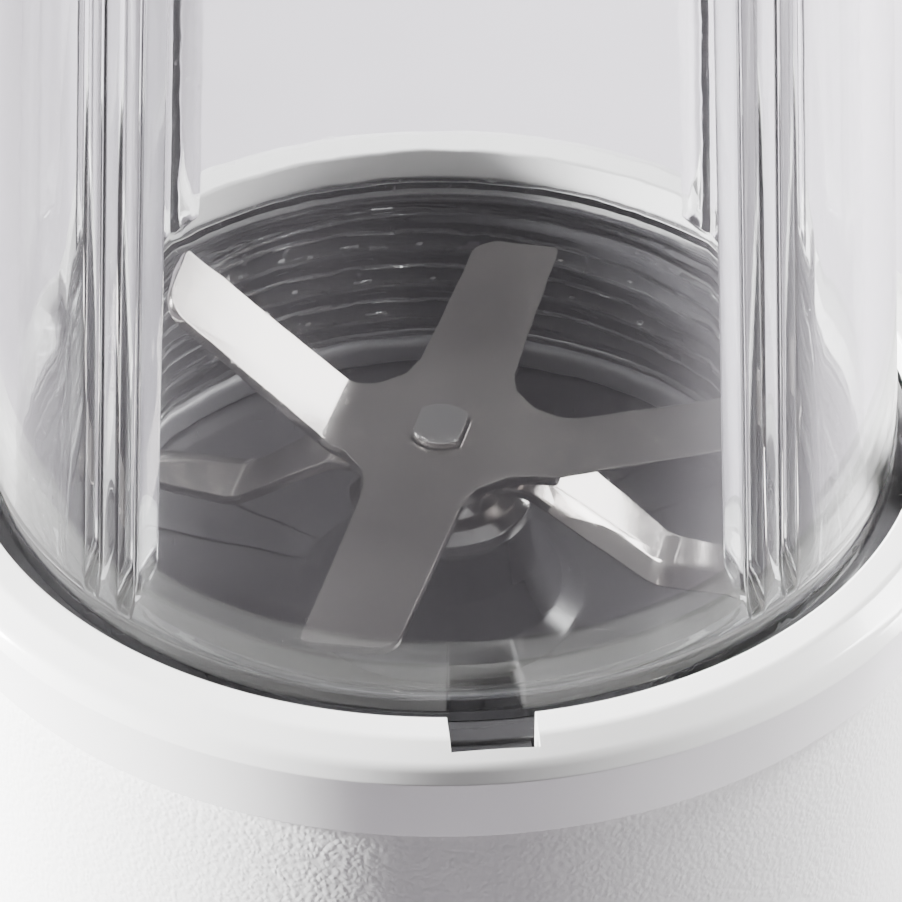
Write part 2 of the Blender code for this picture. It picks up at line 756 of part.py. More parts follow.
# ---------------------------------------------------------------- interlock


def make_interlock():
    under = SWITCH_PLATE_TOP - 2.0
    holes = [circle(2.4, 12, 44.5 * direction(azimuth)) for azimuth in post_azimuths()]
    plate("switch_plate", [circle(52.6, 32), circle(39.5, 28), *holes], under, SWITCH_PLATE_TOP, "charcoal")
    for i, notch in enumerate(notch_azimuths()):
        azimuth = notch - LOCK_ANGLE
        letter = "abc"[i]
        make_plunger(letter, azimuth)
        make_plunger_spring(letter, azimuth)
        body = block(f"microswitch_{letter}", (41.0, -6.4, SWITCH_PLATE_TOP + GAP), (46.8, 6.4, 127.0),
                     "black", azimuth)
        x, y = 44.0 * direction(azimuth)
        join(body, rod(f"switch_button_{letter}", 1.2, 126.0, 129.2, None, (x, y), 12))


def make_plunger(letter, azimuth):
    """A flat bar that stands in the groove's floor and ends in a foot above its switch."""
    half = PLUNGER_WIDTH / 2
    inner = PLUNGER_RADIUS - PLUNGER_THICKNESS / 2
    outer = PLUNGER_RADIUS + PLUNGER_THICKNESS / 2
    foot_bottom, foot_top = 131.5, 134.0
    outline = [
        (42.5, foot_bottom), (outer, foot_bottom), (outer, PLUNGER_TOP - 0.6), (outer - 0.5, PLUNGER_TOP),
        (inner + 0.5, PLUNGER_TOP), (inner, PLUNGER_TOP - 0.6), (inner, foot_top), (42.5, foot_top),
    ]
    plunger = plate(f"plunger_{letter}", [outline], -half, half, "white_gloss", level=0.0)
    plunger.data.transform(Matrix.Rotation(np.pi / 2, 4, "X"))
    centre = Vector((PLUNGER_RADIUS * MM, 0.0, foot_bottom * MM))
    plunger.data.transform(Matrix.Translation(-centre))
    plunger.matrix_world = turn(azimuth) @ Matrix.Translation(centre)


def make_plunger_spring(letter, azimuth):
    """A compression spring between the switch plate and the plunger's foot."""
    wire, mean, turns, steps = 0.35, 1.9, 3.5, 7
    bottom = SWITCH_PLATE_TOP + GAP + wire
    top = 131.5 - GAP - wire
    t = np.linspace(0.0, 1.0, int(turns * steps) + 1)
    angle = 2.0 * np.pi * turns * t
    curve = bpy.data.curves.new(f"plunger_spring_{letter}", "CURVE")
    curve.dimensions = "3D"
    curve.bevel_depth = wire * MM
    curve.bevel_resolution = 2
    curve.use_fill_caps = True
    spline = curve.splines.new("POLY")
    spline.points.add(len(t) - 1)
    height = bottom + (top - bottom) * t
    points = np.column_stack((mean * np.cos(angle), mean * np.sin(angle), height - bottom, t * 0 + 1000.0))
    spline.points.foreach_set("co", (points * MM).ravel())
    drawn = bpy.data.objects.new("spring_wire", curve)
    bpy.context.scene.collection.objects.link(drawn)
    mesh = solid_mesh(drawn)
    bpy.data.objects.remove(drawn, do_unlink=True)
    spring = add_object(f"plunger_spring_{letter}", mesh, "zinc", 60.0)
    x, y = 49.3 * direction(azimuth)
    spring.location = (x * MM, y * MM, bottom * MM)


# ---------------------------------------------------------------- motor


def make_rotor():
    turned("motor_shaft", [
        (0.0, 143.6), (3.6, 143.6), (MOTOR_SHAFT_RADIUS, 143.2), (MOTOR_SHAFT_RADIUS, 18.0), (0.0, 18.0),
    ], "zinc", 16, 18.0)
    bore = MOTOR_SHAFT_RADIUS + 0.15
    turned("armature", [
        (bore, 104.0), (15.0, 104.0), (18.5, 100.0), (18.5, STATOR_TOP), (ARMATURE_RADIUS, STATOR_TOP),
        (ARMATURE_RADIUS, STATOR_BOTTOM), (18.5, STATOR_BOTTOM), (18.5, 67.0), (14.0, 62.5), (bore, 62.5),
    ], "copper", 20, STATOR_BOTTOM)
    turned("commutator", [(bore, 61.0), (11.5, 61.0), (11.5, 59.0), (10.0, 58.8), (10.0, 47.5), (bore, 47.5)],
           "copper", 16, 47.5)
    fan = turned("cooling_fan", [(bore, 32.0), (30.0, 32.0), (30.0, 30.8), (7.5, 30.4), (7.5, 20.0), (bore, 20.0)],
                 "black", 20, 20.0)
    vanes = [block(f"vane_{i}", (7.0, -0.8, 21.0), (29.6, 0.8, 31.2), None, 45.0 * i) for i in range(8)]
    join(fan, *vanes)
    for name, bottom in (("upper_bearing", 104.6), ("lower_bearing", 37.0)):
        ring(name, bore, 9.5, bottom, bottom + 6.0, "polished", 16, bottom)


def make_stator():
    frame = ring("stator", 31.0, MOTOR_OUTER, STATOR_BOTTOM, STATOR_TOP, "lamination", 28, STATOR_BOTTOM)
    poles = [block(f"pole_{azimuth}", (18.0, -12.0, STATOR_BOTTOM), (33.0, 12.0, STATOR_TOP), None, azimuth)
             for azimuth in (90.0, 270.0)]
    join(frame, *poles)
    cut(frame, rod("stator_bore", ARMATURE_RADIUS + 0.6, 60.0, 110.0, None, segments=40))
    for side, azimuth in (("right", 90.0), ("left", 270.0)):
        coil = block(f"field_coil_{side}", (22.0, -16.4, 64.0), (25.4, 16.4, 104.0), "copper", azimuth)
        cut(coil, block(f"coil_window_{side}", (20.0, -12.3, STATOR_BOTTOM - GAP), (28.0, 12.3, STATOR_TOP + GAP),
                        None, azimuth))


def make_brackets():
    edge = MOTOR_OUTER
    upper = turned("upper_bracket", [
        (6.0, 113.0), (edge, 113.0), (edge, STATOR_TOP + GAP), (edge - 2.5, STATOR_TOP + GAP), (edge - 2.5, 111.0),
        (12.0, 111.0), (12.0, 104.0), (9.8, 104.0), (9.8, 111.5), (6.0, 111.5),
    ], "aluminium", 20, 111.0)
    ears, holes = [], []
    for i, azimuth in enumerate(post_azimuths()):
        x, y = 44.5 * direction(azimuth)
        ears.append(block(f"ear_{i}", (36.5, -5.0, 110.0), (49.5, 5.0, 113.0), None, azimuth))
        holes.append(rod(f"ear_hole_{i}", 2.4, 105.0, 116.0, None, (x, y), 12))
        holes.append(block(f"upper_window_{i}", (16.0, -8.0, 100.6), (60.0, 8.0, 109.5), None, azimuth + 60.0))
    join(upper, *ears)
    cut(upper, *holes)

    lower = turned("lower_bracket", [
        (9.8, 44.0), (12.0, 44.0), (12.0, 42.4), (edge - 2.5, 42.4), (edge - 2.5, STATOR_BOTTOM - GAP),
        (edge, STATOR_BOTTOM - GAP), (edge, 40.4), (12.0, 40.4), (12.0, 36.4), (6.0, 36.4), (6.0, 36.7),
        (9.8, 36.7),
    ][::-1], "aluminium", 20, 40.4)
    windows = [block(f"lower_window_{i}", (30.0, -7.0, 46.0), (42.0, 7.0, 62.0), None, 90.0 * i) for i in range(4)]
    cut(lower, *windows)


def make_brushes():
    for side, azimuth in (("front", 0.0), ("back", 180.0)):
        holder = block(f"brush_holder_{side}", (14.0, -5.2, 48.5), (39.5, 5.2, 57.5), "bronze", azimuth)
        cut(holder, block(f"brush_channel_{side}", (10.0, -3.7, 50.0), (37.5, 3.7, 56.0), None, azimuth))
        block(f"brush_{side}", (10.5, -3.4, 50.3), (26.0, 3.4, 55.7), "carbon", azimuth)


def make_motor_mounts():
    for i, azimuth in enumerate(post_azimuths()):
        letter = "abc"[i]
        x, y = 44.5 * direction(azimuth)
        mount = turned(f"motor_mount_{letter}", [
            (2.4, 117.7), (5.0, 117.7), (4.2, 115.5), (5.0, 113.3), (2.4, 113.3),
        ], "rubber", 12)
        mount.location = (x * MM, y * MM, 0.0)
        screw = turned(f"motor_screw_{letter}", [
            (0.0, 130.0), (1.9, 129.0), (1.9, 109.7), (4.0, 109.7), (4.0, 107.6), (3.2, 106.8), (0.0, 106.8),
        ], "zinc", 12)
        screw.location = (x * MM, y * MM, 0.0)


def make_circuit_board():
    board = block("circuit_board", (46.0, -24.0, 48.0), (47.6, 24.0, 92.0), "board", 180.0)
    pieces = [
        block("board_capacitor", (41.0, -20.0, 52.0), (46.5, -8.0, 66.0), None, 180.0),
        block("board_choke", (40.5, 2.0, 74.0), (46.5, 16.0, 86.0), None, 180.0),
    ]
    join(board, *pieces)


# ---------------------------------------------------------------- bodies


def axis_empty(name, height, pieces):
    """An empty on the main axis that carries the pieces which turn or slide together."""
    empty = bpy.data.objects.new(name, None)
    collection(PARTS).objects.link(empty)
    empty.location.z = height * MM
    bpy.context.view_layer.update()
    for piece in pieces:
        child = bpy.data.objects[piece]
        child.parent = empty
        child.matrix_parent_inverse = empty.matrix_world.inverted()


def group_bodies():
    axis_empty("rotor_axis", 18.0, ["motor_shaft", "armature", "commutator", "cooling_fan", "drive_coupling"])
    axis_empty("spindle_axis", 152.8, ["blade_shaft", "upper_blade", "lower_blade", "blade_spacer",
                                      "retaining_clip", "driven_coupling"])
    axis_empty("holder_axis", HOLDER_FLOOR, ["blade_holder", "bearing_housing", "housing_nut", "shaft_seal"])


def main():
    clear_scene()
    make_cup()
    make_blade_holder()
    make_holder_fittings()
    make_blade_shaft()
    make_blades()
    make_couplings()
    make_spindle_fittings()
    make_top_collar()
    make_cup_well()
    make_housing_shell()
    make_bottom_cover()
    make_feet_and_screws()
    make_cord_inlet()
    make_interlock()
    make_rotor()
    make_stator()
    make_brackets()
    make_brushes()
    make_motor_mounts()
    make_circuit_board()
    group_bodies()


main()
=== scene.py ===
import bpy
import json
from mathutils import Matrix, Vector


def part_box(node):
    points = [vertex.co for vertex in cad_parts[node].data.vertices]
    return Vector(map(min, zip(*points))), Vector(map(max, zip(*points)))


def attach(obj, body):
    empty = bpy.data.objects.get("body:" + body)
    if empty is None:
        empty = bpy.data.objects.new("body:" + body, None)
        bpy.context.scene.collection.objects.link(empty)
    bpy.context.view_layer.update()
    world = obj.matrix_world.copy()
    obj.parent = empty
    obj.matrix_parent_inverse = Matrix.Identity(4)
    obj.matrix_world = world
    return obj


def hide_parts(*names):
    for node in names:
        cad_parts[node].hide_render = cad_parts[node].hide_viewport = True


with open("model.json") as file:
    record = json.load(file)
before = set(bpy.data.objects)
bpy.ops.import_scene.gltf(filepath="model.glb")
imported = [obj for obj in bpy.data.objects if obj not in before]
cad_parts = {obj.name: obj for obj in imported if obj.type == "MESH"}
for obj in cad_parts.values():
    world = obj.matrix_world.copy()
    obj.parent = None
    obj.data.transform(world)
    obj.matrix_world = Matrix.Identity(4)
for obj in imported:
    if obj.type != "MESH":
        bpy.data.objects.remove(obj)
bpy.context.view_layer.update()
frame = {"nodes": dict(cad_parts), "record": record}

import json

import bmesh
import bpy
import numpy as np
from bpy.props import FloatProperty, FloatVectorProperty, PointerProperty
from mathutils import Matrix, Vector

bl_info = {
    "name": "Personal countertop blender",
    "version": (1, 0, 0),
    "blender": (4, 5, 0),
    "location": "View3D > Sidebar > Blender",
    "description": "Builds the cup, the blades, the holder and the base of a personal countertop blender",
    "category": "Object",
}

MM = 0.001
FULL_TURN = 2.0 * np.pi

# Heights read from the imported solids, in millimetres
COLLAR_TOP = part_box("top_collar")[1].z / MM
COLLAR_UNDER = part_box("top_collar")[0].z / MM
CUP_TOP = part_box("cup")[1].z / MM
NECK_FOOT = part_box("cup")[0].z / MM
HOLDER_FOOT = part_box("blade_holder")[0].z / MM
HOLDER_RIM_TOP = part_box("blade_holder")[1].z / MM
SHELL_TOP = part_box("housing_shell")[1].z / MM
SHELL_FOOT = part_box("housing_shell")[0].z / MM
SHELL_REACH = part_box("housing_shell")[1].x / MM
SHAFT_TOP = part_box("blade_shaft")[1].z / MM
SHAFT_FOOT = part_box("blade_shaft")[0].z / MM
GLAND_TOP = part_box("bearing_housing")[1].z / MM
GLAND_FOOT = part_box("bearing_housing")[0].z / MM
GASKET_LOW, GASKET_HIGH = (corner.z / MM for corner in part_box("holder_gasket"))
HOLDER_FLOOR = GASKET_LOW - 0.3
COLLAR_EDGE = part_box("top_collar")[1].x / MM

# The collar's cup opening and its three notches
COLLAR_OPENING = 50.0
NOTCHES = (5.5, 125.5, 245.5)
LOCK_ANGLE = 20.0
TAB_REACH = 54.0
TAB_LOW = 182.4
TAB_HIGH = 185.8

# The cup's wall and the thread on its neck
CUP_MOUTH = 47.6
CUP_TAPER = 0.069
CUP_WALL = 3.3
NECK_OUTER = 43.5
NECK_INNER = 40.4
SHOULDER = 186.7
LEDGE_TOP = 188.1
HOLDER_INNER = 45.0
HOLDER_WALL = 47.2
HOLDER_RIM = 49.5
BOSS_TOP = 177.4
TAB_HALF = 3.95
RIBS = (45.5, 134.0, 226.0, 314.5)
THREAD_LEAD = 9.5
THREAD_PITCH = THREAD_LEAD / 2.0
THREAD_CREST = 177.1

# Blades
BLADE_AZIMUTH = -14.5
SHEET = 1.2
UPPER_SHEET_TOP = 187.2
LOWER_SHEET_TOP = 185.7
UPPER_REACHES = (36.5, 35.3, 35.6, 34.6)
UPPER_ROOT, UPPER_TIP = 6.1, 4.7
LOWER_ROOT, LOWER_TIP = 6.0, 3.2
UPPER_ROUND, LOWER_ROUND = 3.2, 2.4
RIGHT_BEND, LEFT_BEND, LOWER_BEND = 21.0, 39.0, 36.0
GROUND_WIDTH = 2.2
GROUND_DEPTH = 0.95
SHAFT_RADIUS = 3.4
SHAFT_FLAT = 2.5


# ---------------------------------------------------------------- settings


class BlenderSizes(bpy.types.PropertyGroup):
    """Sizes of the finer shapes, which the solids leave plain."""

    fin_depth: FloatProperty(
        name="Fin depth", description="How far each fin stands in from the cup's wall",
        default=0.0034, min=0.001, max=0.006, unit="LENGTH")
    fin_thickness: FloatProperty(
        name="Fin thickness", description="Thickness of a fin at its root",
        default=0.0019, min=0.001, max=0.003, unit="LENGTH")
    fin_spacing: FloatProperty(
        name="Fin spacing", description="Distance between the two fins of a rib",
        default=0.0046, min=0.004, max=0.009, unit="LENGTH")
    thread_height: FloatProperty(
        name="Thread height", description="How far the thread stands out from the cup's neck",
        default=0.0011, min=0.0, max=0.0013, unit="LENGTH")
    edge_round: FloatProperty(
        name="Edge rounding", description="Rounding of the cut edges",
        default=0.00025, min=0.0001, max=0.001, unit="LENGTH")


class BlenderColours(bpy.types.PropertyGroup):
    """Colours of the main finishes."""

    cup: FloatVectorProperty(
        name="Cup", description="Tint of the clear plastic",
        default=(0.955, 0.96, 0.965), min=0.0, max=1.0, subtype="COLOR")
    collar: FloatVectorProperty(
        name="Collar", description="Gloss white plastic",
        default=(0.84, 0.835, 0.825), min=0.0, max=1.0, subtype="COLOR")
    shell: FloatVectorProperty(
        name="Shell", description="Matt white plastic",
        default=(0.78, 0.775, 0.765), min=0.0, max=1.0, subtype="COLOR")
    holder: FloatVectorProperty(
        name="Holder", description="Charcoal plastic",
        default=(0.022, 0.0215, 0.023), min=0.0, max=1.0, subtype="COLOR")
    blade: FloatVectorProperty(
        name="Blade", description="Satin steel",
        default=(0.44, 0.415, 0.40), min=0.0, max=1.0, subtype="COLOR")
    floor: FloatVectorProperty(
        name="Floor", description="Pale studio floor",
        default=(0.78, 0.735, 0.80), min=0.0, max=1.0, subtype="COLOR")


# ---------------------------------------------------------------- surfaces


def arc(centre, radius, start, end, steps):
    """Points at equal angles, in degrees, on a circle round a centre."""
    angle = np.radians(np.linspace(start, end, steps + 1))
    return np.column_stack((centre[0] + radius * np.cos(angle), centre[1] + radius * np.sin(angle)))


def rounded(corners, closed=True, steps=4):
    """A line through corners (x, y, radius). Each corner with a radius becomes a curve
    t -> (1-t)^2 a + 2t(1-t) corner + t^2 b between its two points of contact a and b."""
    points = np.array([corner[:2] for corner in corners], float)
    share = np.linspace(0.0, 1.0, steps + 1)[:, None]
    parts = []
    for i, (point, radius) in enumerate(zip(points, [corner[2] for corner in corners])):
        if radius == 0.0 or (not closed and i in (0, len(points) - 1)):
            parts.append(point[None])
            continue
        back, ahead = points[i - 1] - point, points[(i + 1) % len(points)] - point
        back_length, ahead_length = np.linalg.norm(back), np.linalg.norm(ahead)
        back, ahead = back / back_length, ahead / ahead_length
        half = np.arccos(np.clip(back @ ahead, -1.0, 1.0)) / 2.0
        reach = min(radius / np.tan(half), 0.49 * back_length, 0.49 * ahead_length)
        a, b = point + back * reach, point + ahead * reach
        parts.append((1 - share) ** 2 * a + 2 * share * (1 - share) * point + share**2 * b)
    return np.vstack(parts)


def flowing(points, steps=10):
    """A smooth line through points: on each stretch the cubic whose slope at a point is half the
    way from its earlier neighbour to its later one."""
    p = np.array(points, float)
    padded = np.vstack((2 * p[0] - p[1], p, 2 * p[-1] - p[-2]))
    before, start, end, after = padded[:-3], padded[1:-2], padded[2:-1], padded[3:]
    t = np.linspace(0.0, 1.0, steps, endpoint=False)[:, None, None]
    curve = 0.5 * (2 * start + (end - before) * t + (2 * before - 5 * start + 4 * end - after) * t**2
                   + (3 * start - before - 3 * end + after) * t**3)
    return np.vstack((curve.transpose(1, 0, 2).reshape(-1, 2), p[-1:]))


def body_from(name, points, faces, angle=35.0):
    """A closed body from arrays of points in millimetres and faces, merged, with faces outwards."""
    mesh = bpy.data.meshes.new(name)
    mesh.from_pydata(points * MM, [], faces)
    tidy_mesh(mesh, angle)
    obj = bpy.data.objects.new(name, mesh)
    bpy.context.scene.collection.objects.link(obj)
    return obj


def tidy_mesh(mesh, angle):
    """Merges points that meet, turns the faces outwards and keeps edges over an angle sharp."""
    bm = bmesh.new()
    bm.from_mesh(mesh)
    bmesh.ops.remove_doubles(bm, verts=bm.verts, dist=2e-6)
    bmesh.ops.dissolve_degenerate(bm, dist=1e-7, edges=bm.edges)
    bmesh.ops.recalc_face_normals(bm, faces=bm.faces)
    bm.to_mesh(mesh)
    bm.free()
    mesh.shade_smooth()
    mesh.set_sharp_from_angle(angle=np.radians(angle))


def surface(name, grid, loop, angle=35.0):
    """A grid of points as a closed body. Columns close round the axis. Rows close into a loop, or
    else the first and last rows lie on the axis."""
    rows, columns = grid.shape[:2]
    index = np.arange(rows * columns).reshape(rows, columns)
    if loop:
        index = np.vstack((index, index[:1]))
    upper, lower = index[:-1], index[1:]
    quads = np.stack((upper, np.roll(upper, -1, 1), np.roll(lower, -1, 1), lower), axis=2)
    return body_from(name, grid.reshape(-1, 3), quads.reshape(-1, 4), angle)


def lathe(name, profile, columns=144, loop=True, angle=35.0):
    """A profile of (radius, height) turned round the axis: x = r cos a, y = r sin a, z = height."""
    turn = np.linspace(0.0, FULL_TURN, columns, endpoint=False)
    radius, height = np.array(profile).T
    grid = np.stack((np.outer(radius, np.cos(turn)), np.outer(radius, np.sin(turn)),
                     np.outer(height, np.ones(columns))), axis=2)
    return surface(name, grid, loop, angle)


def columns_round(azimuths, offsets, weights, radius, step=2.0):
    """Columns round the axis as rows of azimuth, sideways offset and weight: the given offsets at
    each azimuth, and plain columns a step apart between them."""
    offsets, weights = np.array(offsets), np.array(weights)
    half = np.degrees(np.arcsin(offsets.max() / radius))
    parts = []
    for here, there in zip(azimuths, np.roll(azimuths, -1)):
        gap = (there - here) % 360.0 - 2.0 * half
        count = int(gap / step)
        between = here + half + gap * np.arange(1, count) / count
        parts.append(np.column_stack((np.full(len(offsets), here), offsets, weights)))
        parts.append(np.column_stack((between, between * 0.0, between * 0.0)))
    return np.vstack(parts).T


def placed(radius, height, azimuth, offset, push):
    """Points at a radius from the axis and a sideways offset from their azimuth, pushed towards the
    axis along that azimuth. Offsets shrink with the radius near the axis."""
    offset = offset * np.minimum(1.0, radius / 30.0)
    out = np.sqrt(radius**2 - offset**2) - push
    a = np.radians(azimuth)
    x = out * np.sin(a) + offset * np.cos(a)
    y = -out * np.cos(a) + offset * np.sin(a)
    return np.stack((x, y, height + x * 0.0), axis=2)


def thread_ridge(azimuth, height, crest, half_width, flank):
    """1 on the crest of a two-start right-handed thread and 0 away from it. The crest line climbs by
    the lead in a turn, and the flank falls as 3u^2 - 2u^3."""
    along = (height - crest - THREAD_LEAD * azimuth / 360.0) / THREAD_PITCH
    away = np.abs(along - np.round(along)) * THREAD_PITCH
    u = np.clip((half_width + flank - away) / flank, 0.0, 1.0)
    return 3 * u**2 - 2 * u**3


def ramp(value, start, end):
    """0 before start and 1 after end, with a smooth rise between them."""
    u = np.clip((value - start) / (end - start), 0.0, 1.0)
    return 3 * u**2 - 2 * u**3


def prism(name, outline, low, high):
    """A flat outline carried straight up from one height to another."""
    outline = np.array(outline)
    count = len(outline)
    points = np.vstack((np.column_stack((outline, np.full(count, low))),
                        np.column_stack((outline, np.full(count, high)))))
    here = np.arange(count)
    there = np.roll(here, -1)
    sides = np.column_stack((here, there, there + count, here + count)).tolist()
    mesh = bpy.data.meshes.new(name)
    mesh.from_pydata(points * MM, [], [*sides, here[::-1].tolist(), (here + count).tolist()])
    tidy_mesh(mesh, 35.0)
    obj = bpy.data.objects.new(name, mesh)
    bpy.context.scene.collection.objects.link(obj)
    return obj


def turned_to(points, azimuth):
    """Flat points drawn along +X, turned to an azimuth."""
    a = np.radians(azimuth - 90.0)
    return np.array(points) @ np.array([[np.cos(a), np.sin(a)], [-np.sin(a), np.cos(a)]])


def slab(name, inner, outer, half, azimuth, low, high):
    """A block from an inner to an outer distance, half its width to each side of an azimuth."""
    corners = [(inner, -half), (outer, -half), (outer, half), (inner, half)]
    return prism(name, turned_to(corners, azimuth), low, high)


def solidly(obj, operation, others, angle=35.0):
    """Cuts or joins other bodies, which are then removed, and puts the result in obj's mesh."""
    for other in others:
        step = obj.modifiers.new("step", "BOOLEAN")
        step.operation = operation
        step.solver = "EXACT"
        step.object = other
    settle(obj, angle)
    for other in others:
        bpy.data.objects.remove(other, do_unlink=True)
    return obj


def settle(obj, angle=35.0):
    """Puts what obj's modifiers make into its own mesh."""
    bpy.context.view_layer.update()
    made = bpy.data.meshes.new_from_object(obj.evaluated_get(bpy.context.evaluated_depsgraph_get()))
    obj.modifiers.clear()
    obj.data = made
    tidy_mesh(made, angle)


def ease_edges(obj, width, segments=2, angle=40.0):
    """Rounds the sharp edges, and keeps the flat faces flat beside them."""
    bevel = obj.modifiers.new("edges", "BEVEL")
    bevel.width = width
    bevel.segments = segments
    bevel.limit_method = "ANGLE"
    bevel.angle_limit = np.radians(angle)
    weighted = obj.modifiers.new("normals", "WEIGHTED_NORMAL")
    weighted.keep_sharp = True
    return obj


def piece(obj, body, slot, *nodes):
    """Gives a new piece its body and its finish, and hides the solids that it stands for."""
    obj.data.materials.clear()
    obj.data.materials.append(finish(slot))
    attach(obj, body)
    if nodes:
        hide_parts(*nodes)
    return obj


# ---------------------------------------------------------------- materials


def put(tree, kind, settings=None, **inputs):
    """Adds a node, with its settings, and its inputs by name as a value or another node's socket."""
    made = tree.nodes.new("ShaderNode" + kind)
    for key, value in (settings or {}).items():
        setattr(made, key, value)
    for key, value in inputs.items():
        feed(tree, made.inputs[key.replace("_", " ")], value)
    return made


def feed(tree, socket, value):
    if isinstance(value, bpy.types.NodeSocket):
        tree.links.new(value, socket)
    else:
        socket.default_value = value


def mixed(tree, factor, a, b):
    """A colour between two others."""
    made = tree.nodes.new("ShaderNodeMix")
    made.data_type = "RGBA"
    for index, value in ((0, factor), (6, a), (7, b)):
        feed(tree, made.inputs[index], value)
    return made.outputs[2]


def combined(tree, operation, a, b):
    made = tree.nodes.new("ShaderNodeMath")
    made.operation = operation
    feed(tree, made.inputs[0], a)
    feed(tree, made.inputs[1], b)
    return made.outputs[0]


def ranged(tree, value, low, high, start=0.0, end=1.0):
    return put(tree, "MapRange", Value=value, From_Min=start, From_Max=end, To_Min=low,
               To_Max=high).outputs["Result"]


def noise(tree, scale, detail=2.0, roughness=0.5, stretch=(1.0, 1.0, 1.0)):
    """Noise in the piece's own metres, stretched along its axes."""
    place = put(tree, "TexCoord").outputs["Object"]
    place = put(tree, "Mapping", Vector=place, Scale=stretch).outputs["Vector"]
    return put(tree, "TexNoise", Vector=place, Scale=scale, Detail=detail, Roughness=roughness).outputs["Fac"]


def group(name, inputs, outputs):
    """An empty node group with float inputs and outputs, and its two end nodes."""
    tree = bpy.data.node_groups.new(name, "ShaderNodeTree")
    for socket, default in inputs.items():
        made = tree.interface.new_socket(name=socket, in_out="INPUT", socket_type="NodeSocketFloat")
        made.default_value = default
    for socket in outputs:
        tree.interface.new_socket(name=socket, in_out="OUTPUT", socket_type="NodeSocketFloat")
    return tree, tree.nodes.new("NodeGroupInput"), tree.nodes.new("NodeGroupOutput")


def moulding_group():
    """Moulded plastic: a fine skin, slow drift of tone, and a few hairline scratches."""
    tree, given, out = group("moulded_skin", {"Scale": 900.0, "Scratches": 0.5}, ("Height", "Tone", "Marks"))
    place = put(tree, "TexCoord").outputs["Object"]
    skin = put(tree, "TexNoise", Vector=place, Scale=given.outputs["Scale"], Detail=3.0, Roughness=0.6)
    slow = noise(tree, 26.0, 3.0)
    lines = noise(tree, 150.0, 2.0, 0.7, (1.0, 14.0, 3.0))
    cross = noise(tree, 170.0, 2.0, 0.7, (11.0, 1.0, 4.0))
    both = combined(tree, "MAXIMUM", ranged(tree, lines, 0.0, 1.0, 0.66, 0.74),
                    ranged(tree, cross, 0.0, 1.0, 0.67, 0.75))
    feed(tree, out.inputs["Height"], skin.outputs["Fac"])
    feed(tree, out.inputs["Tone"], slow)
    feed(tree, out.inputs["Marks"], combined(tree, "MULTIPLY", both, given.outputs["Scratches"]))
    return tree


def stipple_group():
    """Leather-like stipple: rounded cells bent by noise, with a finer grain on top."""
    tree, given, out = group("leather_stipple", {"Scale": 1300.0}, ("Height", "Tone"))
    place = put(tree, "TexCoord").outputs["Object"]
    bend = put(tree, "TexNoise", Vector=place, Scale=500.0, Detail=2.0)
    moved = put(tree, "VectorMath", {"operation": "MULTIPLY_ADD"})
    feed(tree, moved.inputs[0], bend.outputs["Color"])
    moved.inputs[1].default_value = (0.0009, 0.0009, 0.0009)
    feed(tree, moved.inputs[2], place)
    cells = put(tree, "TexVoronoi", {"feature": "SMOOTH_F1"}, Vector=moved.outputs[0],
                Scale=given.outputs["Scale"], Smoothness=0.6)
    grain = noise(tree, 3800.0, 2.0)
    height = combined(tree, "ADD", ranged(tree, cells.outputs["Distance"], 1.0, 0.0, 0.1, 0.75),
                      combined(tree, "MULTIPLY", grain, 0.35))
    feed(tree, out.inputs["Height"], height)
    feed(tree, out.inputs["Tone"], noise(tree, 20.0, 2.0))
    return tree


def grain_group():
    """Satin metal: a blasted grain, faint rolling lines along one way, and slow drift of tone."""
    tree, given, out = group("satin_grain", {"Scale": 3600.0, "Lines": 0.4}, ("Height", "Tone", "Sparkle"))
    place = put(tree, "TexCoord").outputs["Object"]
    blast = put(tree, "TexNoise", Vector=place, Scale=given.outputs["Scale"], Detail=3.0, Roughness=0.65)
    lines = noise(tree, 260.0, 4.0, 0.7, (1.0, 22.0, 1.0))
    height = combined(tree, "ADD", blast.outputs["Fac"], combined(tree, "MULTIPLY", lines, given.outputs["Lines"]))
    feed(tree, out.inputs["Height"], height)
    feed(tree, out.inputs["Tone"], noise(tree, 45.0, 3.0, 0.6))
    feed(tree, out.inputs["Sparkle"], ranged(tree, blast.outputs["Fac"], 0.0, 1.0, 0.35, 0.7))
    return tree


def shared(name, build):
    found = bpy.data.node_groups.get(name)
    return found or build()


def use_group(tree, name, build, **inputs):
    return put(tree, "Group", {"node_tree": shared(name, build)}, **inputs)


def new_material(name):
    material = bpy.data.materials.new(name)
    material.use_nodes = True
    tree = material.node_tree
    tree.nodes.clear()
    return material, tree, tree.nodes.new("ShaderNodeOutputMaterial")


def shade(colour, factor):
    return (*[min(1.0, channel * factor) for channel in colour], 1.0)


def plastic(name, colour, low, high, scale=900.0, relief=0.00001, scratches=0.4, coat=0.0, contrast=0.04):
    """Moulded plastic between two roughnesses, with a fine skin and hairline scratches."""
    material, tree, out = new_material(name)
    skin = use_group(tree, "moulded_skin", moulding_group, Scale=scale, Scratches=scratches)
    base = mixed(tree, skin.outputs["Tone"], shade(colour, 1.0 - contrast), shade(colour, 1.0 + contrast))
    rough = combined(tree, "ADD", ranged(tree, skin.outputs["Tone"], low, high, 0.3, 0.7),
                     combined(tree, "MULTIPLY", skin.outputs["Marks"], 0.12))
    bump = put(tree, "Bump", Strength=0.6, Distance=relief, Height=skin.outputs["Height"])
    shader = put(tree, "BsdfPrincipled", Base_Color=base, Roughness=rough, Normal=bump.outputs["Normal"],
                 IOR=1.49, Coat_Weight=coat, Coat_Roughness=0.05)
    tree.links.new(shader.outputs[0], out.inputs["Surface"])
    return material


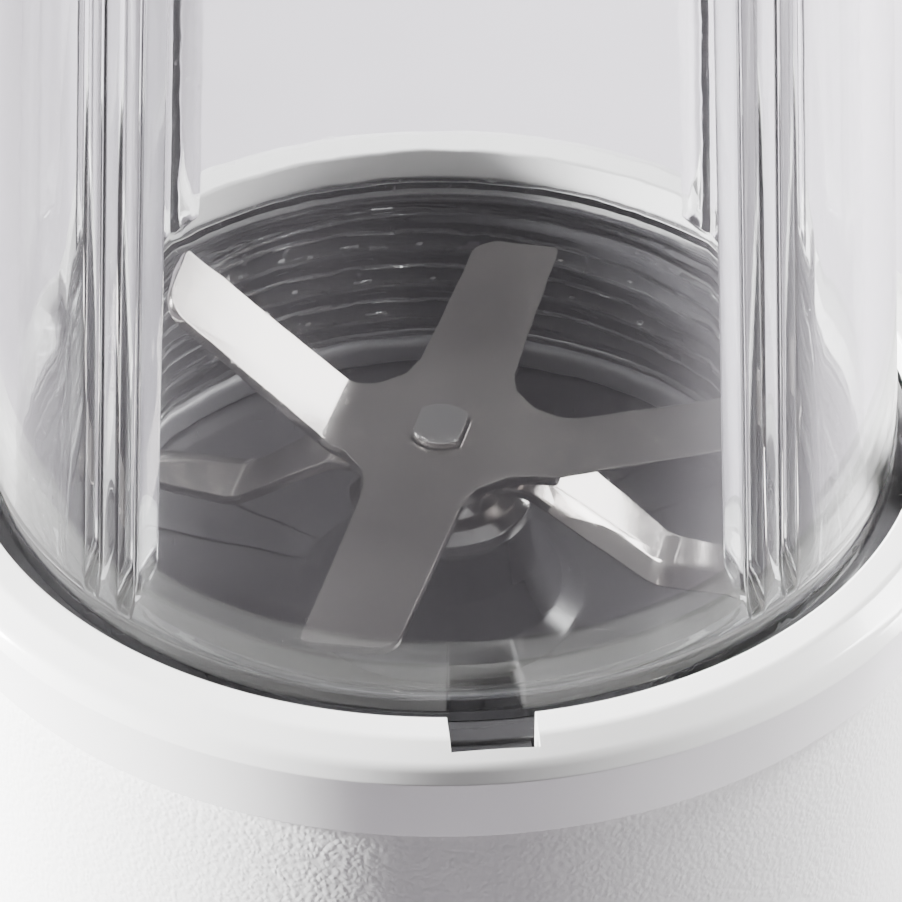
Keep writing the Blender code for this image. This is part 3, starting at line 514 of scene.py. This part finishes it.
def stippled(name, colour):
    """Matt white plastic with a leather-like stipple."""
    material, tree, out = new_material(name)
    skin = use_group(tree, "leather_stipple", stipple_group, Scale=1600.0)
    base = mixed(tree, skin.outputs["Tone"], shade(colour, 0.97), shade(colour, 1.02))
    rough = ranged(tree, skin.outputs["Height"], 0.62, 0.46, 0.2, 1.1)
    bump = put(tree, "Bump", Strength=0.7, Distance=0.00006, Height=skin.outputs["Height"])
    shader = put(tree, "BsdfPrincipled", Base_Color=base, Roughness=rough, Normal=bump.outputs["Normal"], IOR=1.5)
    tree.links.new(shader.outputs[0], out.inputs["Surface"])
    return material


def metal(name, colour, low, high, scale=3600.0, relief=0.000004, lines=0.4, contrast=0.08):
    """Metal between two roughnesses, with a satin grain."""
    material, tree, out = new_material(name)
    grain = use_group(tree, "satin_grain", grain_group, Scale=scale, Lines=lines)
    tone = mixed(tree, grain.outputs["Tone"], shade(colour, 1.0 - contrast), shade(colour, 1.0 + contrast))
    base = mixed(tree, ranged(tree, grain.outputs["Sparkle"], 0.0, 0.25), tone, shade(colour, 1.35))
    rough = ranged(tree, grain.outputs["Tone"], low, high, 0.3, 0.7)
    bump = put(tree, "Bump", Strength=0.6, Distance=relief, Height=grain.outputs["Height"])
    shader = put(tree, "BsdfPrincipled", Base_Color=base, Roughness=rough, Metallic=1.0,
                 Normal=bump.outputs["Normal"])
    tree.links.new(shader.outputs[0], out.inputs["Surface"])
    return material


def clear(name, colour):
    """Clear moulded plastic. Lamps and diffuse light pass straight through it, so that what stands
    inside is lit."""
    material, tree, out = new_material(name)
    skin = use_group(tree, "moulded_skin", moulding_group, Scale=60.0, Scratches=1.0)
    base = mixed(tree, skin.outputs["Tone"], shade(colour, 0.99), shade(colour, 1.01))
    rough = combined(tree, "ADD", ranged(tree, skin.outputs["Tone"], 0.0, 0.03, 0.35, 0.7),
                     combined(tree, "MULTIPLY", skin.outputs["Marks"], 0.08))
    bump = put(tree, "Bump", Strength=0.35, Distance=0.00006, Height=skin.outputs["Height"])
    glass = put(tree, "BsdfPrincipled", Base_Color=base, Roughness=rough, Transmission_Weight=1.0, IOR=1.54,
                Specular_IOR_Level=0.15, Normal=bump.outputs["Normal"])
    path = put(tree, "LightPath")
    through = combined(tree, "MAXIMUM", path.outputs["Is Shadow Ray"], path.outputs["Is Diffuse Ray"])
    empty = put(tree, "BsdfTransparent")
    mix = tree.nodes.new("ShaderNodeMixShader")
    tree.links.new(through, mix.inputs[0])
    tree.links.new(glass.outputs[0], mix.inputs[1])
    tree.links.new(empty.outputs[0], mix.inputs[2])
    tree.links.new(mix.outputs[0], out.inputs["Surface"])
    return material


def finish(slot):
    """The material of a record slot, made when it is first asked for."""
    look = slot + "_look"
    found = bpy.data.materials.get(look)
    if found:
        return found
    colours = bpy.context.scene.blender_colours
    makers = {
        "clear_plastic": lambda: clear(look, colours.cup),
        "white_gloss_plastic": lambda: plastic(look, colours.collar, 0.16, 0.22, 1100.0, 0.000006, 0.5, 0.15, 0.01),
        "white_textured_plastic": lambda: stippled(look, colours.shell),
        "charcoal_plastic": lambda: plastic(look, colours.holder, 0.15, 0.24, 1500.0, 0.00001, 0.8, 0.2, 0.12),
        "black_plastic": lambda: plastic(look, (0.03, 0.03, 0.032), 0.42, 0.56, 2200.0, 0.00003, 0.5),
        "silicone_rubber": lambda: plastic(look, (0.055, 0.055, 0.058), 0.4, 0.5, 700.0, 0.00001, 0.2),
        "black_rubber": lambda: plastic(look, (0.028, 0.028, 0.03), 0.62, 0.8, 2600.0, 0.00004, 0.3),
        "satin_steel": lambda: metal(look, colours.blade, 0.1, 0.16, 3600.0, 0.0000025),
        "polished_steel": lambda: metal(look, (0.64, 0.63, 0.62), 0.07, 0.14, 2000.0, 0.000001, 0.2, 0.04),
        "zinc_steel": lambda: metal(look, (0.56, 0.58, 0.62), 0.26, 0.4, 2200.0, 0.000006, 0.2, 0.12),
        "lamination_steel": lambda: metal(look, (0.2, 0.2, 0.21), 0.42, 0.6, 1400.0, 0.00001, 1.0, 0.25),
        "cast_aluminium": lambda: metal(look, (0.62, 0.62, 0.63), 0.4, 0.56, 1500.0, 0.00003, 0.0, 0.1),
        "copper_winding": lambda: metal(look, (0.52, 0.22, 0.1), 0.26, 0.4, 1800.0, 0.00003, 1.4, 0.2),
        "sintered_bronze": lambda: metal(look, (0.5, 0.34, 0.16), 0.42, 0.56, 2800.0, 0.00002, 0.0, 0.18),
        "carbon_block": lambda: plastic(look, (0.03, 0.03, 0.034), 0.46, 0.66, 3000.0, 0.00003, 1.0),
        "board_laminate": lambda: plastic(look, (0.05, 0.2, 0.09), 0.3, 0.42, 1700.0, 0.00002, 0.5, 0.1, 0.18),
    }
    return makers[slot]()


# ---------------------------------------------------------------- pieces


class MakeCup(bpy.types.Operator):
    """The inverted clear cup with its fins, its ledge and the thread on its neck."""

    bl_idname = "countertop_blender.cup"
    bl_label = "Cup"

    def execute(self, context):
        sizes = context.scene.blender_sizes
        depth = sizes.fin_depth / MM
        half = sizes.fin_thickness / MM / 2.0
        side = np.array([-half - 0.5, -half - 0.12, -half, -half + 0.22, -half + 0.45,
                         half - 0.45, half - 0.22, half, half + 0.12, half + 0.5])
        share = np.array([0.0, 0.04, 0.14, 0.92, 1.0, 1.0, 0.92, 0.14, 0.04, 0.0])
        middle = sizes.fin_spacing / MM / 2.0
        offsets = np.concatenate(([-6.4], side - middle, [0.0], side + middle, [6.4]))
        weights = np.concatenate(([0.0], share, [0.0], share, [0.0]))
        azimuth, offset, weight = columns_round(RIBS, offsets, weights, 44.0)

        def outer(z):
            return CUP_MOUTH - CUP_TAPER * (z - COLLAR_TOP)

        crown, inner_crown = 9.0, 5.7
        top_radius = outer(CUP_TOP - crown)
        roof = CUP_TOP - CUP_WALL - 0.6
        wall_heights = np.linspace(CUP_TOP - crown - 2.0, COLLAR_TOP + 2.0, 14)
        outside = np.vstack((
            [(0.0, CUP_TOP), (12.0, CUP_TOP), (top_radius - crown - 3.0, CUP_TOP)],
            arc((top_radius - crown, CUP_TOP - crown), crown, 90.0, 0.0, 12),
            np.column_stack((outer(wall_heights), wall_heights)),
            rounded([(CUP_MOUTH, COLLAR_TOP, 0.0), (CUP_MOUTH, SHOULDER, 0.6), (NECK_OUTER, SHOULDER, 0.5),
                     (NECK_OUTER, 185.6, 0.0)], closed=False),
        ))
        neck_heights = np.arange(185.4, NECK_FOOT + 0.9, -0.3)
        neck = np.column_stack((np.full(len(neck_heights), NECK_OUTER), neck_heights))
        wall_foot = COLLAR_TOP - 0.6
        foot = rounded([(NECK_OUTER, NECK_FOOT + 0.8, 0.0), (NECK_OUTER, NECK_FOOT, 0.7),
                        (NECK_INNER, NECK_FOOT, 0.6), (NECK_INNER, NECK_FOOT + 1.2, 0.0)], closed=False)
        ledge = rounded([(NECK_INNER, 184.5, 0.0), (NECK_INNER, SHOULDER, 0.8),
                         (outer(COLLAR_TOP) - CUP_WALL, LEDGE_TOP, 1.0),
                         (outer(wall_foot) - CUP_WALL, wall_foot, 0.0)], closed=False)
        fin_foot, fin_head = wall_foot, CUP_TOP - 14.0
        heights = np.concatenate((np.linspace(fin_foot, fin_foot + 4.0, 7)[1:],
                                  np.linspace(fin_foot + 5.0, fin_head - 6.0, 12),
                                  np.linspace(fin_head - 5.0, fin_head + 0.5, 6)))
        inside_radius = outer(roof - inner_crown) - CUP_WALL
        inside = np.vstack((
            np.column_stack((outer(heights) - CUP_WALL, heights)),
            arc((inside_radius - inner_crown, roof - inner_crown), inner_crown, 0.0, 90.0, 10),
            [(inside_radius - inner_crown - 3.0, roof), (12.0, roof), (0.0, roof)],
        ))
        profile = np.vstack((outside, neck, foot, ledge, inside))
        radius, height = profile[:, :1], profile[:, 1:]
        on_neck = np.zeros(len(profile), bool)
        on_neck[len(outside):len(outside) + len(neck)] = True
        after = len(outside) + len(neck) + len(foot) + len(ledge)
        within = np.arange(len(profile)) >= after
        rise = thread_ridge(azimuth[None], height, THREAD_CREST, 0.72, 0.5)
        rise = rise * ramp(height, NECK_FOOT + 0.9, NECK_FOOT + 2.2) * (1.0 - ramp(height, 184.2, 185.4))
        radius = radius + on_neck[:, None] * rise * sizes.thread_height / MM
        fin = np.interp(height[:, 0], [fin_foot, fin_foot + 4.0, fin_head - 6.0, fin_head], [0.0, depth, depth, 0.0])
        push = (within * fin)[:, None] * weight[None]
        grid = placed(radius, height, azimuth[None], offset[None], push)
        cup = surface("clear_cup", grid, loop=False, angle=60.0)
        piece(cup, "cup", "clear_plastic", "cup")
        return {"FINISHED"}


class MakeHolder(bpy.types.Operator):
    """The charcoal blade holder with its boss, its inner thread and its three locking tabs."""

    bl_idname = "countertop_blender.holder"
    bl_label = "Blade holder"

    def execute(self, context):
        half, ramp_width, ramp_rise = TAB_HALF, 3.0, 1.2
        offsets = [-half, -half, -half + ramp_width, 0.0, half, half]
        weights = [0.0, 1.0, 1.0, 1.0, 1.0, 0.0]
        azimuth, offset, weight = columns_round(NOTCHES, offsets, weights, 50.0, 2.0)
        rim, wall, boss, floor = HOLDER_RIM, HOLDER_WALL, BOSS_TOP, HOLDER_FLOOR
        rim_part = rounded([(rim, TAB_HIGH + 0.05, 0.0), (rim, HOLDER_RIM_TOP, 0.3), (47.0, HOLDER_RIM_TOP, 0.0),
                            (HOLDER_INNER, HOLDER_RIM_TOP, 0.3), (HOLDER_INNER, 185.2, 0.0)], closed=False)
        heights = np.arange(185.0, floor + 1.6, -0.3)
        threaded = np.column_stack((np.full(len(heights), HOLDER_INNER), heights))
        body = rounded([
            (HOLDER_INNER, floor + 1.5, 0.0), (HOLDER_INNER, floor, 1.2), (30.0, floor, 0.0), (15.5, floor, 1.6),
            (13.0, floor + 1.6, 1.2), (10.6, boss - 5.4, 2.0), (9.2, boss, 0.7), (7.3, boss, 0.2),
            (7.3, floor - 3.0, 0.2), (HOLDER_INNER, floor - 3.0, 0.8), (HOLDER_INNER, HOLDER_FOOT, 0.4),
            (wall, HOLDER_FOOT, 0.4), (wall, 180.0, 0.5), (rim, 181.2, 0.5), (rim, 182.0, 0.0)], closed=False)
        tab = np.array([(rim, TAB_LOW), (TAB_REACH, TAB_LOW), (TAB_REACH, TAB_HIGH), (rim, TAB_HIGH)])
        profile = np.vstack((rim_part, threaded, body, tab))
        radius, height = profile[:, :1], profile[:, 1:]
        rows, columns = len(profile), len(azimuth)
        on_wall = np.zeros((rows, 1), bool)
        on_wall[len(rim_part):len(rim_part) + len(threaded)] = True
        ridge = thread_ridge(azimuth[None], height, THREAD_CREST + THREAD_PITCH / 2.0, 0.42, 0.36)
        ridge = ridge * ramp(height, floor + 1.8, floor + 3.0) * (1.0 - ramp(height, 183.6, 184.8))
        radius = radius - on_wall * ridge * 0.95
        radius[-3:-1] = np.where(weight[None] > 0.5, TAB_REACH, rim)
        height = np.repeat(height, columns, 1)
        slope = TAB_LOW + ramp_rise * np.clip(1.0 - (offset + half) / ramp_width, 0.0, 1.0)
        height[-4:-2] = np.where(weight > 0.5, slope, TAB_LOW)
        grid = placed(radius, height, azimuth[None], offset[None], 0.0)
        holder = surface("blade_cup_holder", grid, loop=True)
        piece(holder, "holder", "charcoal_plastic", "blade_holder")
        return {"FINISHED"}


class MakeHolderFittings(bpy.types.Operator):
    """The silicone gasket and the polished bearing housing."""

    bl_idname = "countertop_blender.holder_fittings"
    bl_label = "Gasket and bearing housing"

    def execute(self, context):
        low, high = GASKET_LOW, GASKET_HIGH
        ring = rounded([(40.2, low, 0.5), (43.8, low, 0.5), (43.8, high, 1.2), (40.2, high, 1.2)], steps=6)
        piece(lathe("gasket_ring", ring), "gasket", "silicone_rubber", "holder_gasket")
        crown = GLAND_TOP
        profile = rounded([
            (3.8, crown, 0.15), (6.2, crown, 0.35), (7.1, crown - 0.95, 0.3), (8.6, crown - 1.25, 0.4),
            (9.8, crown - 2.3, 0.5), (9.8, crown - 3.8, 0.2), (7.0, crown - 3.8, 0.0), (7.0, GLAND_FOOT, 0.2),
            (5.2, GLAND_FOOT, 0.2), (5.2, crown - 0.8, 0.0), (3.8, crown - 0.8, 0.0)], steps=5)
        piece(lathe("shaft_gland", profile, 96, angle=50.0), "holder", "polished_steel", "bearing_housing")
        return {"FINISHED"}


def arm(root, tip, reach, leading_round):
    """Half the outline of an arm along +X: from its root on one side round its tip to the other."""
    corner = 0.8
    return np.vstack((
        [(root + 2.6, -root), (root + 5.5, -root + 0.9)],
        arc((reach - corner, -tip + corner), corner, -90.0, 0.0, 5),
        arc((reach - 0.6 - leading_round, tip - leading_round), leading_round, 0.0, 90.0, 12),
        [(root + 5.5, root - 0.9), (root + 2.6, root)],
    ))


def sheet_from(name, outline, hole, top):
    """A flat sheet with a hole and slightly rounded edges, filled between its outlines."""
    soft = 0.14
    curve = bpy.data.curves.new(name, "CURVE")
    curve.dimensions = "2D"
    curve.fill_mode = "BOTH"
    curve.extrude = (SHEET / 2 - soft) * MM
    curve.bevel_depth = soft * MM
    curve.bevel_resolution = 1
    curve.offset = -soft * MM
    for line in (outline, hole):
        spline = curve.splines.new("POLY")
        spline.points.add(len(line) - 1)
        flat = np.zeros((len(line), 4))
        flat[:, :2] = line * MM
        flat[:, 3] = 1.0
        spline.points.foreach_set("co", flat.ravel())
        spline.use_cyclic_u = True
    obj = bpy.data.objects.new(name, curve)
    bpy.context.scene.collection.objects.link(obj)
    bpy.context.view_layer.update()
    mesh = bpy.data.meshes.new_from_object(obj.evaluated_get(bpy.context.evaluated_depsgraph_get()))
    bpy.data.objects.remove(obj, do_unlink=True)
    mesh.transform(Matrix.Translation((0.0, 0.0, (top - SHEET / 2) * MM)))
    tidy_mesh(mesh, 30.0)
    sheet = bpy.data.objects.new(name, mesh)
    bpy.context.scene.collection.objects.link(sheet)
    return sheet


def ground(sheet, azimuth, root, tip, reach, face, facing):
    """Slopes the sharp edge of an arm with a cutter, on the sheet's upper (1) or lower (-1) face."""
    slope = (tip - root + 0.9) / (reach - root - 6.3)
    deep = GROUND_DEPTH * (1.0 + 1.0 / GROUND_WIDTH)
    points = []
    for along in (root + 7.5, reach + 1.0):
        edge = root - 0.9 + slope * (along - root - 5.5)
        for across, height in ((GROUND_WIDTH, 0.0), (-1.0, -deep), (-1.0, 1.0), (GROUND_WIDTH, 1.0)):
            points.append((along, across - edge, face + facing * height))
    points = np.array(points)
    points[:, :2] = turned_to(points[:, :2], azimuth)
    faces = [(0, 1, 2, 3), (7, 6, 5, 4), (0, 4, 5, 1), (1, 5, 6, 2), (2, 6, 7, 3), (3, 7, 4, 0)]
    solidly(sheet, "DIFFERENCE", [body_from("cutter", points, faces)], 30.0)


def folded(sheet, azimuth, start, angle, level, bend=3.0, steps=9):
    """Bends a sheet along a line across an azimuth. With s the distance beyond the line and h the
    height over the sheet's middle, the bend is an arc of radius R = bend / angle: a point at s turns by
    f = angle * s / bend and goes to R sin f - h sin f and R (1 - cos f) + h cos f, and the rest of the
    sheet goes on straight."""
    a = np.radians(azimuth)
    out = np.array([np.sin(a), -np.cos(a), 0.0])
    bm = bmesh.new()
    bm.from_mesh(sheet.data)
    for cut in np.linspace(start, start + bend, steps):
        bmesh.ops.bisect_plane(bm, geom=[*bm.verts, *bm.edges, *bm.faces], plane_co=out * cut * MM,
                               plane_no=out, dist=1e-7)
    bm.to_mesh(sheet.data)
    bm.free()
    points = np.zeros(len(sheet.data.vertices) * 3)
    sheet.data.vertices.foreach_get("co", points)
    points = points.reshape(-1, 3) / MM
    along = points @ out
    beyond = along - start
    full = np.radians(angle)
    f = full * np.clip(beyond / bend, 0.0, 1.0)
    radius = bend / full
    rest = np.clip(beyond - bend, 0.0, None)
    h = points[:, 2] - level
    new_along = start + radius * np.sin(f) + rest * np.cos(f) - h * np.sin(f)
    new_height = level + radius * (1.0 - np.cos(f)) + rest * np.sin(f) + h * np.cos(f)
    moved = points + np.outer(new_along - along, out)
    moved[:, 2] = new_height
    points = np.where((beyond > 0.0)[:, None], moved, points) * MM
    sheet.data.vertices.foreach_set("co", points.ravel())
    sheet.data.update()


def shaft_hole(radius, flat):
    """A circle with two flats, parallel to the blade's long arms."""
    limit = np.degrees(np.arcsin(flat / radius))
    half = arc((0.0, 0.0), radius, -limit, limit, 10)
    return turned_to(np.vstack((half, -half)), BLADE_AZIMUTH)


class MakeSpindle(bpy.types.Operator):
    """The two blades, folded from sheet, and the shaft with its two flats."""

    bl_idname = "countertop_blender.spindle"
    bl_label = "Blades and shaft"

    def execute(self, context):
        outline = np.vstack([
            turned_to(arm(UPPER_ROOT, UPPER_TIP, reach, UPPER_ROUND), BLADE_AZIMUTH + 90.0 * i)
            for i, reach in enumerate(UPPER_REACHES)])
        hole = shaft_hole(SHAFT_RADIUS + 0.2, SHAFT_FLAT + 0.2)
        upper = sheet_from("cross_blade", outline, hole, UPPER_SHEET_TOP)
        level = UPPER_SHEET_TOP - SHEET / 2
        for i, reach in enumerate(UPPER_REACHES):
            ground(upper, BLADE_AZIMUTH + 90.0 * i, UPPER_ROOT, UPPER_TIP, reach, UPPER_SHEET_TOP - SHEET, -1)
        folded(upper, BLADE_AZIMUTH + 90.0, 11.5, RIGHT_BEND, level)
        folded(upper, BLADE_AZIMUTH - 90.0, 9.3, LEFT_BEND, level)

        arms = ((BLADE_AZIMUTH + 90.0, 38.6, 26.0), (BLADE_AZIMUTH - 90.0, 37.3, 23.2))
        outline = np.vstack([turned_to(arm(LOWER_ROOT, LOWER_TIP, reach, LOWER_ROUND), azimuth)
                             for azimuth, reach, _ in arms])
        lower = sheet_from("swept_blade", outline, hole, LOWER_SHEET_TOP)
        level = LOWER_SHEET_TOP - SHEET / 2
        for azimuth, reach, _ in arms:
            ground(lower, azimuth, LOWER_ROOT, LOWER_TIP, reach, LOWER_SHEET_TOP, 1)
        for azimuth, _, trough in arms:
            folded(lower, azimuth, trough, LOWER_BEND, level)
            folded(lower, azimuth, 8.1, -LOWER_BEND, level)
        for blade, node in ((upper, "upper_blade"), (lower, "lower_blade")):
            tidy_mesh(blade.data, 30.0)
            weighted = blade.modifiers.new("normals", "WEIGHTED_NORMAL")
            weighted.keep_sharp = True
            piece(blade, "spindle", "satin_steel", node)

        profile = rounded([
            (0.0, SHAFT_TOP, 0.0), (SHAFT_RADIUS, SHAFT_TOP, 0.5), (SHAFT_RADIUS, 157.0, 0.1), (2.6, 156.9, 0.0),
            (2.6, 155.9, 0.0), (SHAFT_RADIUS, 155.8, 0.1), (SHAFT_RADIUS, SHAFT_FOOT, 0.3), (0.0, SHAFT_FOOT, 0.0),
        ], closed=False)
        shaft = lathe("flatted_shaft", profile, 64, loop=False)
        sides = [prism(f"flat_{side}", turned_to([(-6.0, side * SHAFT_FLAT), (6.0, side * SHAFT_FLAT),
                                                  (6.0, side * 6.0), (-6.0, side * 6.0)], BLADE_AZIMUTH),
                       182.0, SHAFT_TOP + 1.0) for side in (-1, 1)]
        solidly(shaft, "DIFFERENCE", sides)
        ease_edges(shaft, context.scene.blender_sizes.edge_round)
        piece(shaft, "spindle", "polished_steel", "blade_shaft")
        return {"FINISHED"}


class MakeCollar(bpy.types.Operator):
    """The gloss white collar with its three notches, its bayonet groove and its plunger slots."""

    bl_idname = "countertop_blender.collar"
    bl_label = "Collar"

    def execute(self, context):
        profile = rounded([
            (COLLAR_OPENING, COLLAR_TOP, 0.45), (53.2, COLLAR_TOP, 2.0), (56.0, COLLAR_TOP - 1.3, 2.0),
            (COLLAR_EDGE, COLLAR_TOP - 2.8, 0.35), (COLLAR_EDGE - 1.0, COLLAR_UNDER, 0.3),
            (COLLAR_OPENING, COLLAR_UNDER, 0.3)], steps=6)
        collar = lathe("white_collar", profile, 216)
        reach, half = COLLAR_OPENING + 4.4, 4.25
        low, high = TAB_LOW - 0.4, TAB_HIGH + 0.4
        half_angle = np.degrees(half / reach)
        cuts = []
        for azimuth in NOTCHES:
            cuts.append(slab("notch", 45.0, reach, half, azimuth, low, COLLAR_TOP + 2.0))
            start, end = azimuth - LOCK_ANGLE - half_angle - 0.5, azimuth
            sector = np.vstack((arc((0.0, 0.0), reach, start - 90.0, end - 90.0, 16),
                                arc((0.0, 0.0), 48.0, end - 90.0, start - 90.0, 16)))
            cuts.append(prism("groove", sector, low, high))
            cuts.append(slab("slot", 49.9, 54.0, 2.3, azimuth - LOCK_ANGLE, COLLAR_UNDER - 2.0, low + 1.0))
        solidly(collar, "DIFFERENCE", cuts, 30.0)
        ease_edges(collar, context.scene.blender_sizes.edge_round)
        piece(collar, "base", "white_gloss_plastic", "top_collar")
        return {"FINISHED"}


class MakeShell(bpy.types.Operator):
    """The flared white shell with its inlet recess at the back and its three screw bosses."""

    bl_idname = "countertop_blender.shell"
    bl_label = "Housing shell"

    def execute(self, context):
        wall = 2.3
        outer = flowing([(54.4, SHELL_TOP - 0.8), (56.4, 140.0), (59.7, 105.0), (67.2, 32.0), (SHELL_REACH, 14.0),
                         (67.9, SHELL_FOOT + 0.6)])
        outer[:, 0] = np.minimum(outer[:, 0], SHELL_REACH)
        inner = outer[::-1] - (wall, 0.0)
        lip = [(inner[-1, 0] + 0.3, SHELL_TOP), (outer[0, 0] - 0.5, SHELL_TOP)]
        foot = [(outer[-1, 0] - 0.5, SHELL_FOOT), (inner[0, 0] + 0.3, SHELL_FOOT)]
        shell = lathe("white_shell", np.vstack((outer, foot, inner, lip)), 192, angle=50.0)
        bosses, holes = [], []
        for azimuth in (60.0, 152.0, 300.0):
            x, y = 60.2 * np.sin(np.radians(azimuth)), -60.2 * np.cos(np.radians(azimuth))
            bosses.append(prism("boss", arc((x, y), 4.4, 0.0, 360.0, 32)[:-1], 13.0, 44.0))
            holes.append(prism("boss_hole", arc((x, y), 2.0, 0.0, 360.0, 24)[:-1], 12.0, 34.0))
        for radius, start in ((8.3, 66.4), (5.6, 55.0)):
            hole = prism("inlet", arc((0.0, 0.0), radius, 0.0, 360.0, 48)[:-1], start, 80.0)
            hole.data.transform(Matrix.Translation((0.0, 0.0, 34.0 * MM)) @ Matrix.Rotation(-np.pi / 2, 4, "X"))
            holes.append(hole)
        solidly(shell, "UNION", bosses, 50.0)
        solidly(shell, "DIFFERENCE", holes, 30.0)
        weighted = shell.modifiers.new("normals", "WEIGHTED_NORMAL")
        weighted.keep_sharp = True
        piece(shell, "base", "white_textured_plastic", "housing_shell")
        return {"FINISHED"}


class FinishOtherParts(bpy.types.Operator):
    """The finishes and eased edges of the parts that keep their own solids."""

    bl_idname = "countertop_blender.other_parts"
    bl_label = "Other parts"

    def execute(self, context):
        slots = {part["node"]: part["material_slot"] for part in frame["record"]["subparts"]}
        replaced = {"cup", "blade_holder", "holder_gasket", "bearing_housing", "upper_blade", "lower_blade",
                    "blade_shaft", "top_collar", "housing_shell"}
        for name, node in frame["nodes"].items():
            if name in replaced:
                continue
            node.data.materials.clear()
            node.data.materials.append(finish(slots[name]))
            weld = node.modifiers.new("weld", "WELD")
            weld.merge_threshold = 0.000004
            ease_edges(node, 0.00015)
        return {"FINISHED"}


# ---------------------------------------------------------------- stage


def lamp(name, place, aim, width, height, power, spread=180.0):
    """A soft rectangular lamp that faces a point, with its beam held to a spread in degrees."""
    light = bpy.data.lights.new(name, "AREA")
    light.shape = "RECTANGLE"
    light.size, light.size_y = width, height
    light.energy = power
    light.spread = np.radians(spread)
    obj = bpy.data.objects.new(name, light)
    obj.location = place
    obj.rotation_euler = (Vector(aim) - Vector(place)).to_track_quat("-Z", "Y").to_euler()
    bpy.context.scene.collection.objects.link(obj)
    return obj


class MakeStage(bpy.types.Operator):
    """The pale floor, the soft lamps, the dim surroundings and the camera."""

    bl_idname = "countertop_blender.stage"
    bl_label = "Floor, lamps and camera"

    def execute(self, context):
        reach = 3.2
        turn = np.linspace(0.0, FULL_TURN, 64, endpoint=False)
        ring = np.column_stack((reach * np.cos(turn), reach * np.sin(turn), turn * 0.0))
        mesh = bpy.data.meshes.new("studio_floor")
        mesh.from_pydata(ring, [], [np.arange(64).tolist()])
        floor = bpy.data.objects.new("studio_floor", mesh)
        context.scene.collection.objects.link(floor)
        colour = context.scene.blender_colours.floor
        mesh.materials.append(plastic("floor_paint", colour, 0.55, 0.7, 60.0, 0.0001, 0.0, 0.0, 0.015))

        world = bpy.data.worlds.new("studio")
        context.scene.world = world
        world.use_nodes = True
        tree = world.node_tree
        tree.nodes.clear()
        place = put(tree, "TexCoord").outputs["Generated"]
        height = put(tree, "SeparateXYZ", Vector=place).outputs["Z"]
        sky = mixed(tree, ranged(tree, height, 0.0, 1.0, 0.0, 0.7),
                    (0.09, 0.088, 0.092, 1.0), (0.17, 0.166, 0.17, 1.0))
        back = put(tree, "Background", Color=sky, Strength=1.0)
        out = tree.nodes.new("ShaderNodeOutputWorld")
        tree.links.new(back.outputs[0], out.inputs["Surface"])

        lamp("overhead_softbox", (1.0, 0.5, 1.0), (0.1, 0.5, 0.0), 0.5, 0.5, 21.0, 80.0)
        lamp("back_softbox", (0.85, 0.72, 0.5), (0.0, 0.0, 0.22), 0.5, 0.35, 1.0, 20.0)
        lamp("left_softbox", (-0.95, 0.14, 0.4), (0.0, 0.02, 0.21), 0.25, 0.4, 4.8, 15.0)
        lamp("right_softbox", (0.95, 0.15, 0.34), (0.0, 0.0, 0.21), 0.25, 0.4, 0.5, 18.0)

        camera = bpy.data.cameras.new("camera")
        camera.lens = 175.7
        camera.sensor_width = 36.0
        camera.shift_x = 0.0113
        camera.shift_y = -0.0558
        camera.clip_start = 0.02
        view = bpy.data.objects.new("camera", camera)
        elevation = np.radians(36.95)
        distance = 0.46
        view.location = (0.0, -distance * np.cos(elevation), COLLAR_TOP * MM + distance * np.sin(elevation))
        view.rotation_euler = (np.pi / 2 - elevation, 0.0, 0.0)
        context.scene.collection.objects.link(view)
        context.scene.camera = view
        return {"FINISHED"}


class BlenderPanel(bpy.types.Panel):
    """The sizes, the colours and the steps that build the blender."""

    bl_idname = "VIEW3D_PT_countertop_blender"
    bl_label = "Countertop blender"
    bl_space_type = "VIEW_3D"
    bl_region_type = "UI"
    bl_category = "Blender"

    def draw(self, context):
        column = self.layout.column()
        for settings in (context.scene.blender_sizes, context.scene.blender_colours):
            for name in settings.__annotations__:
                column.prop(settings, name)
        for operator in STEPS:
            column.operator(operator.bl_idname)


STEPS = (MakeCup, MakeHolder, MakeHolderFittings, MakeSpindle, MakeCollar, MakeShell, FinishOtherParts, MakeStage)
CLASSES = (BlenderSizes, BlenderColours, *STEPS, BlenderPanel)


def register():
    for cls in CLASSES:
        bpy.utils.register_class(cls)
    bpy.types.Scene.blender_sizes = PointerProperty(type=BlenderSizes)
    bpy.types.Scene.blender_colours = PointerProperty(type=BlenderColours)


def unregister():
    del bpy.types.Scene.blender_colours
    del bpy.types.Scene.blender_sizes
    for cls in reversed(CLASSES):
        bpy.utils.unregister_class(cls)


def main():
    register()
    for step in STEPS:
        category, name = step.bl_idname.split(".")
        getattr(getattr(bpy.ops, category), name)()


if __name__ == "__main__":
    main()
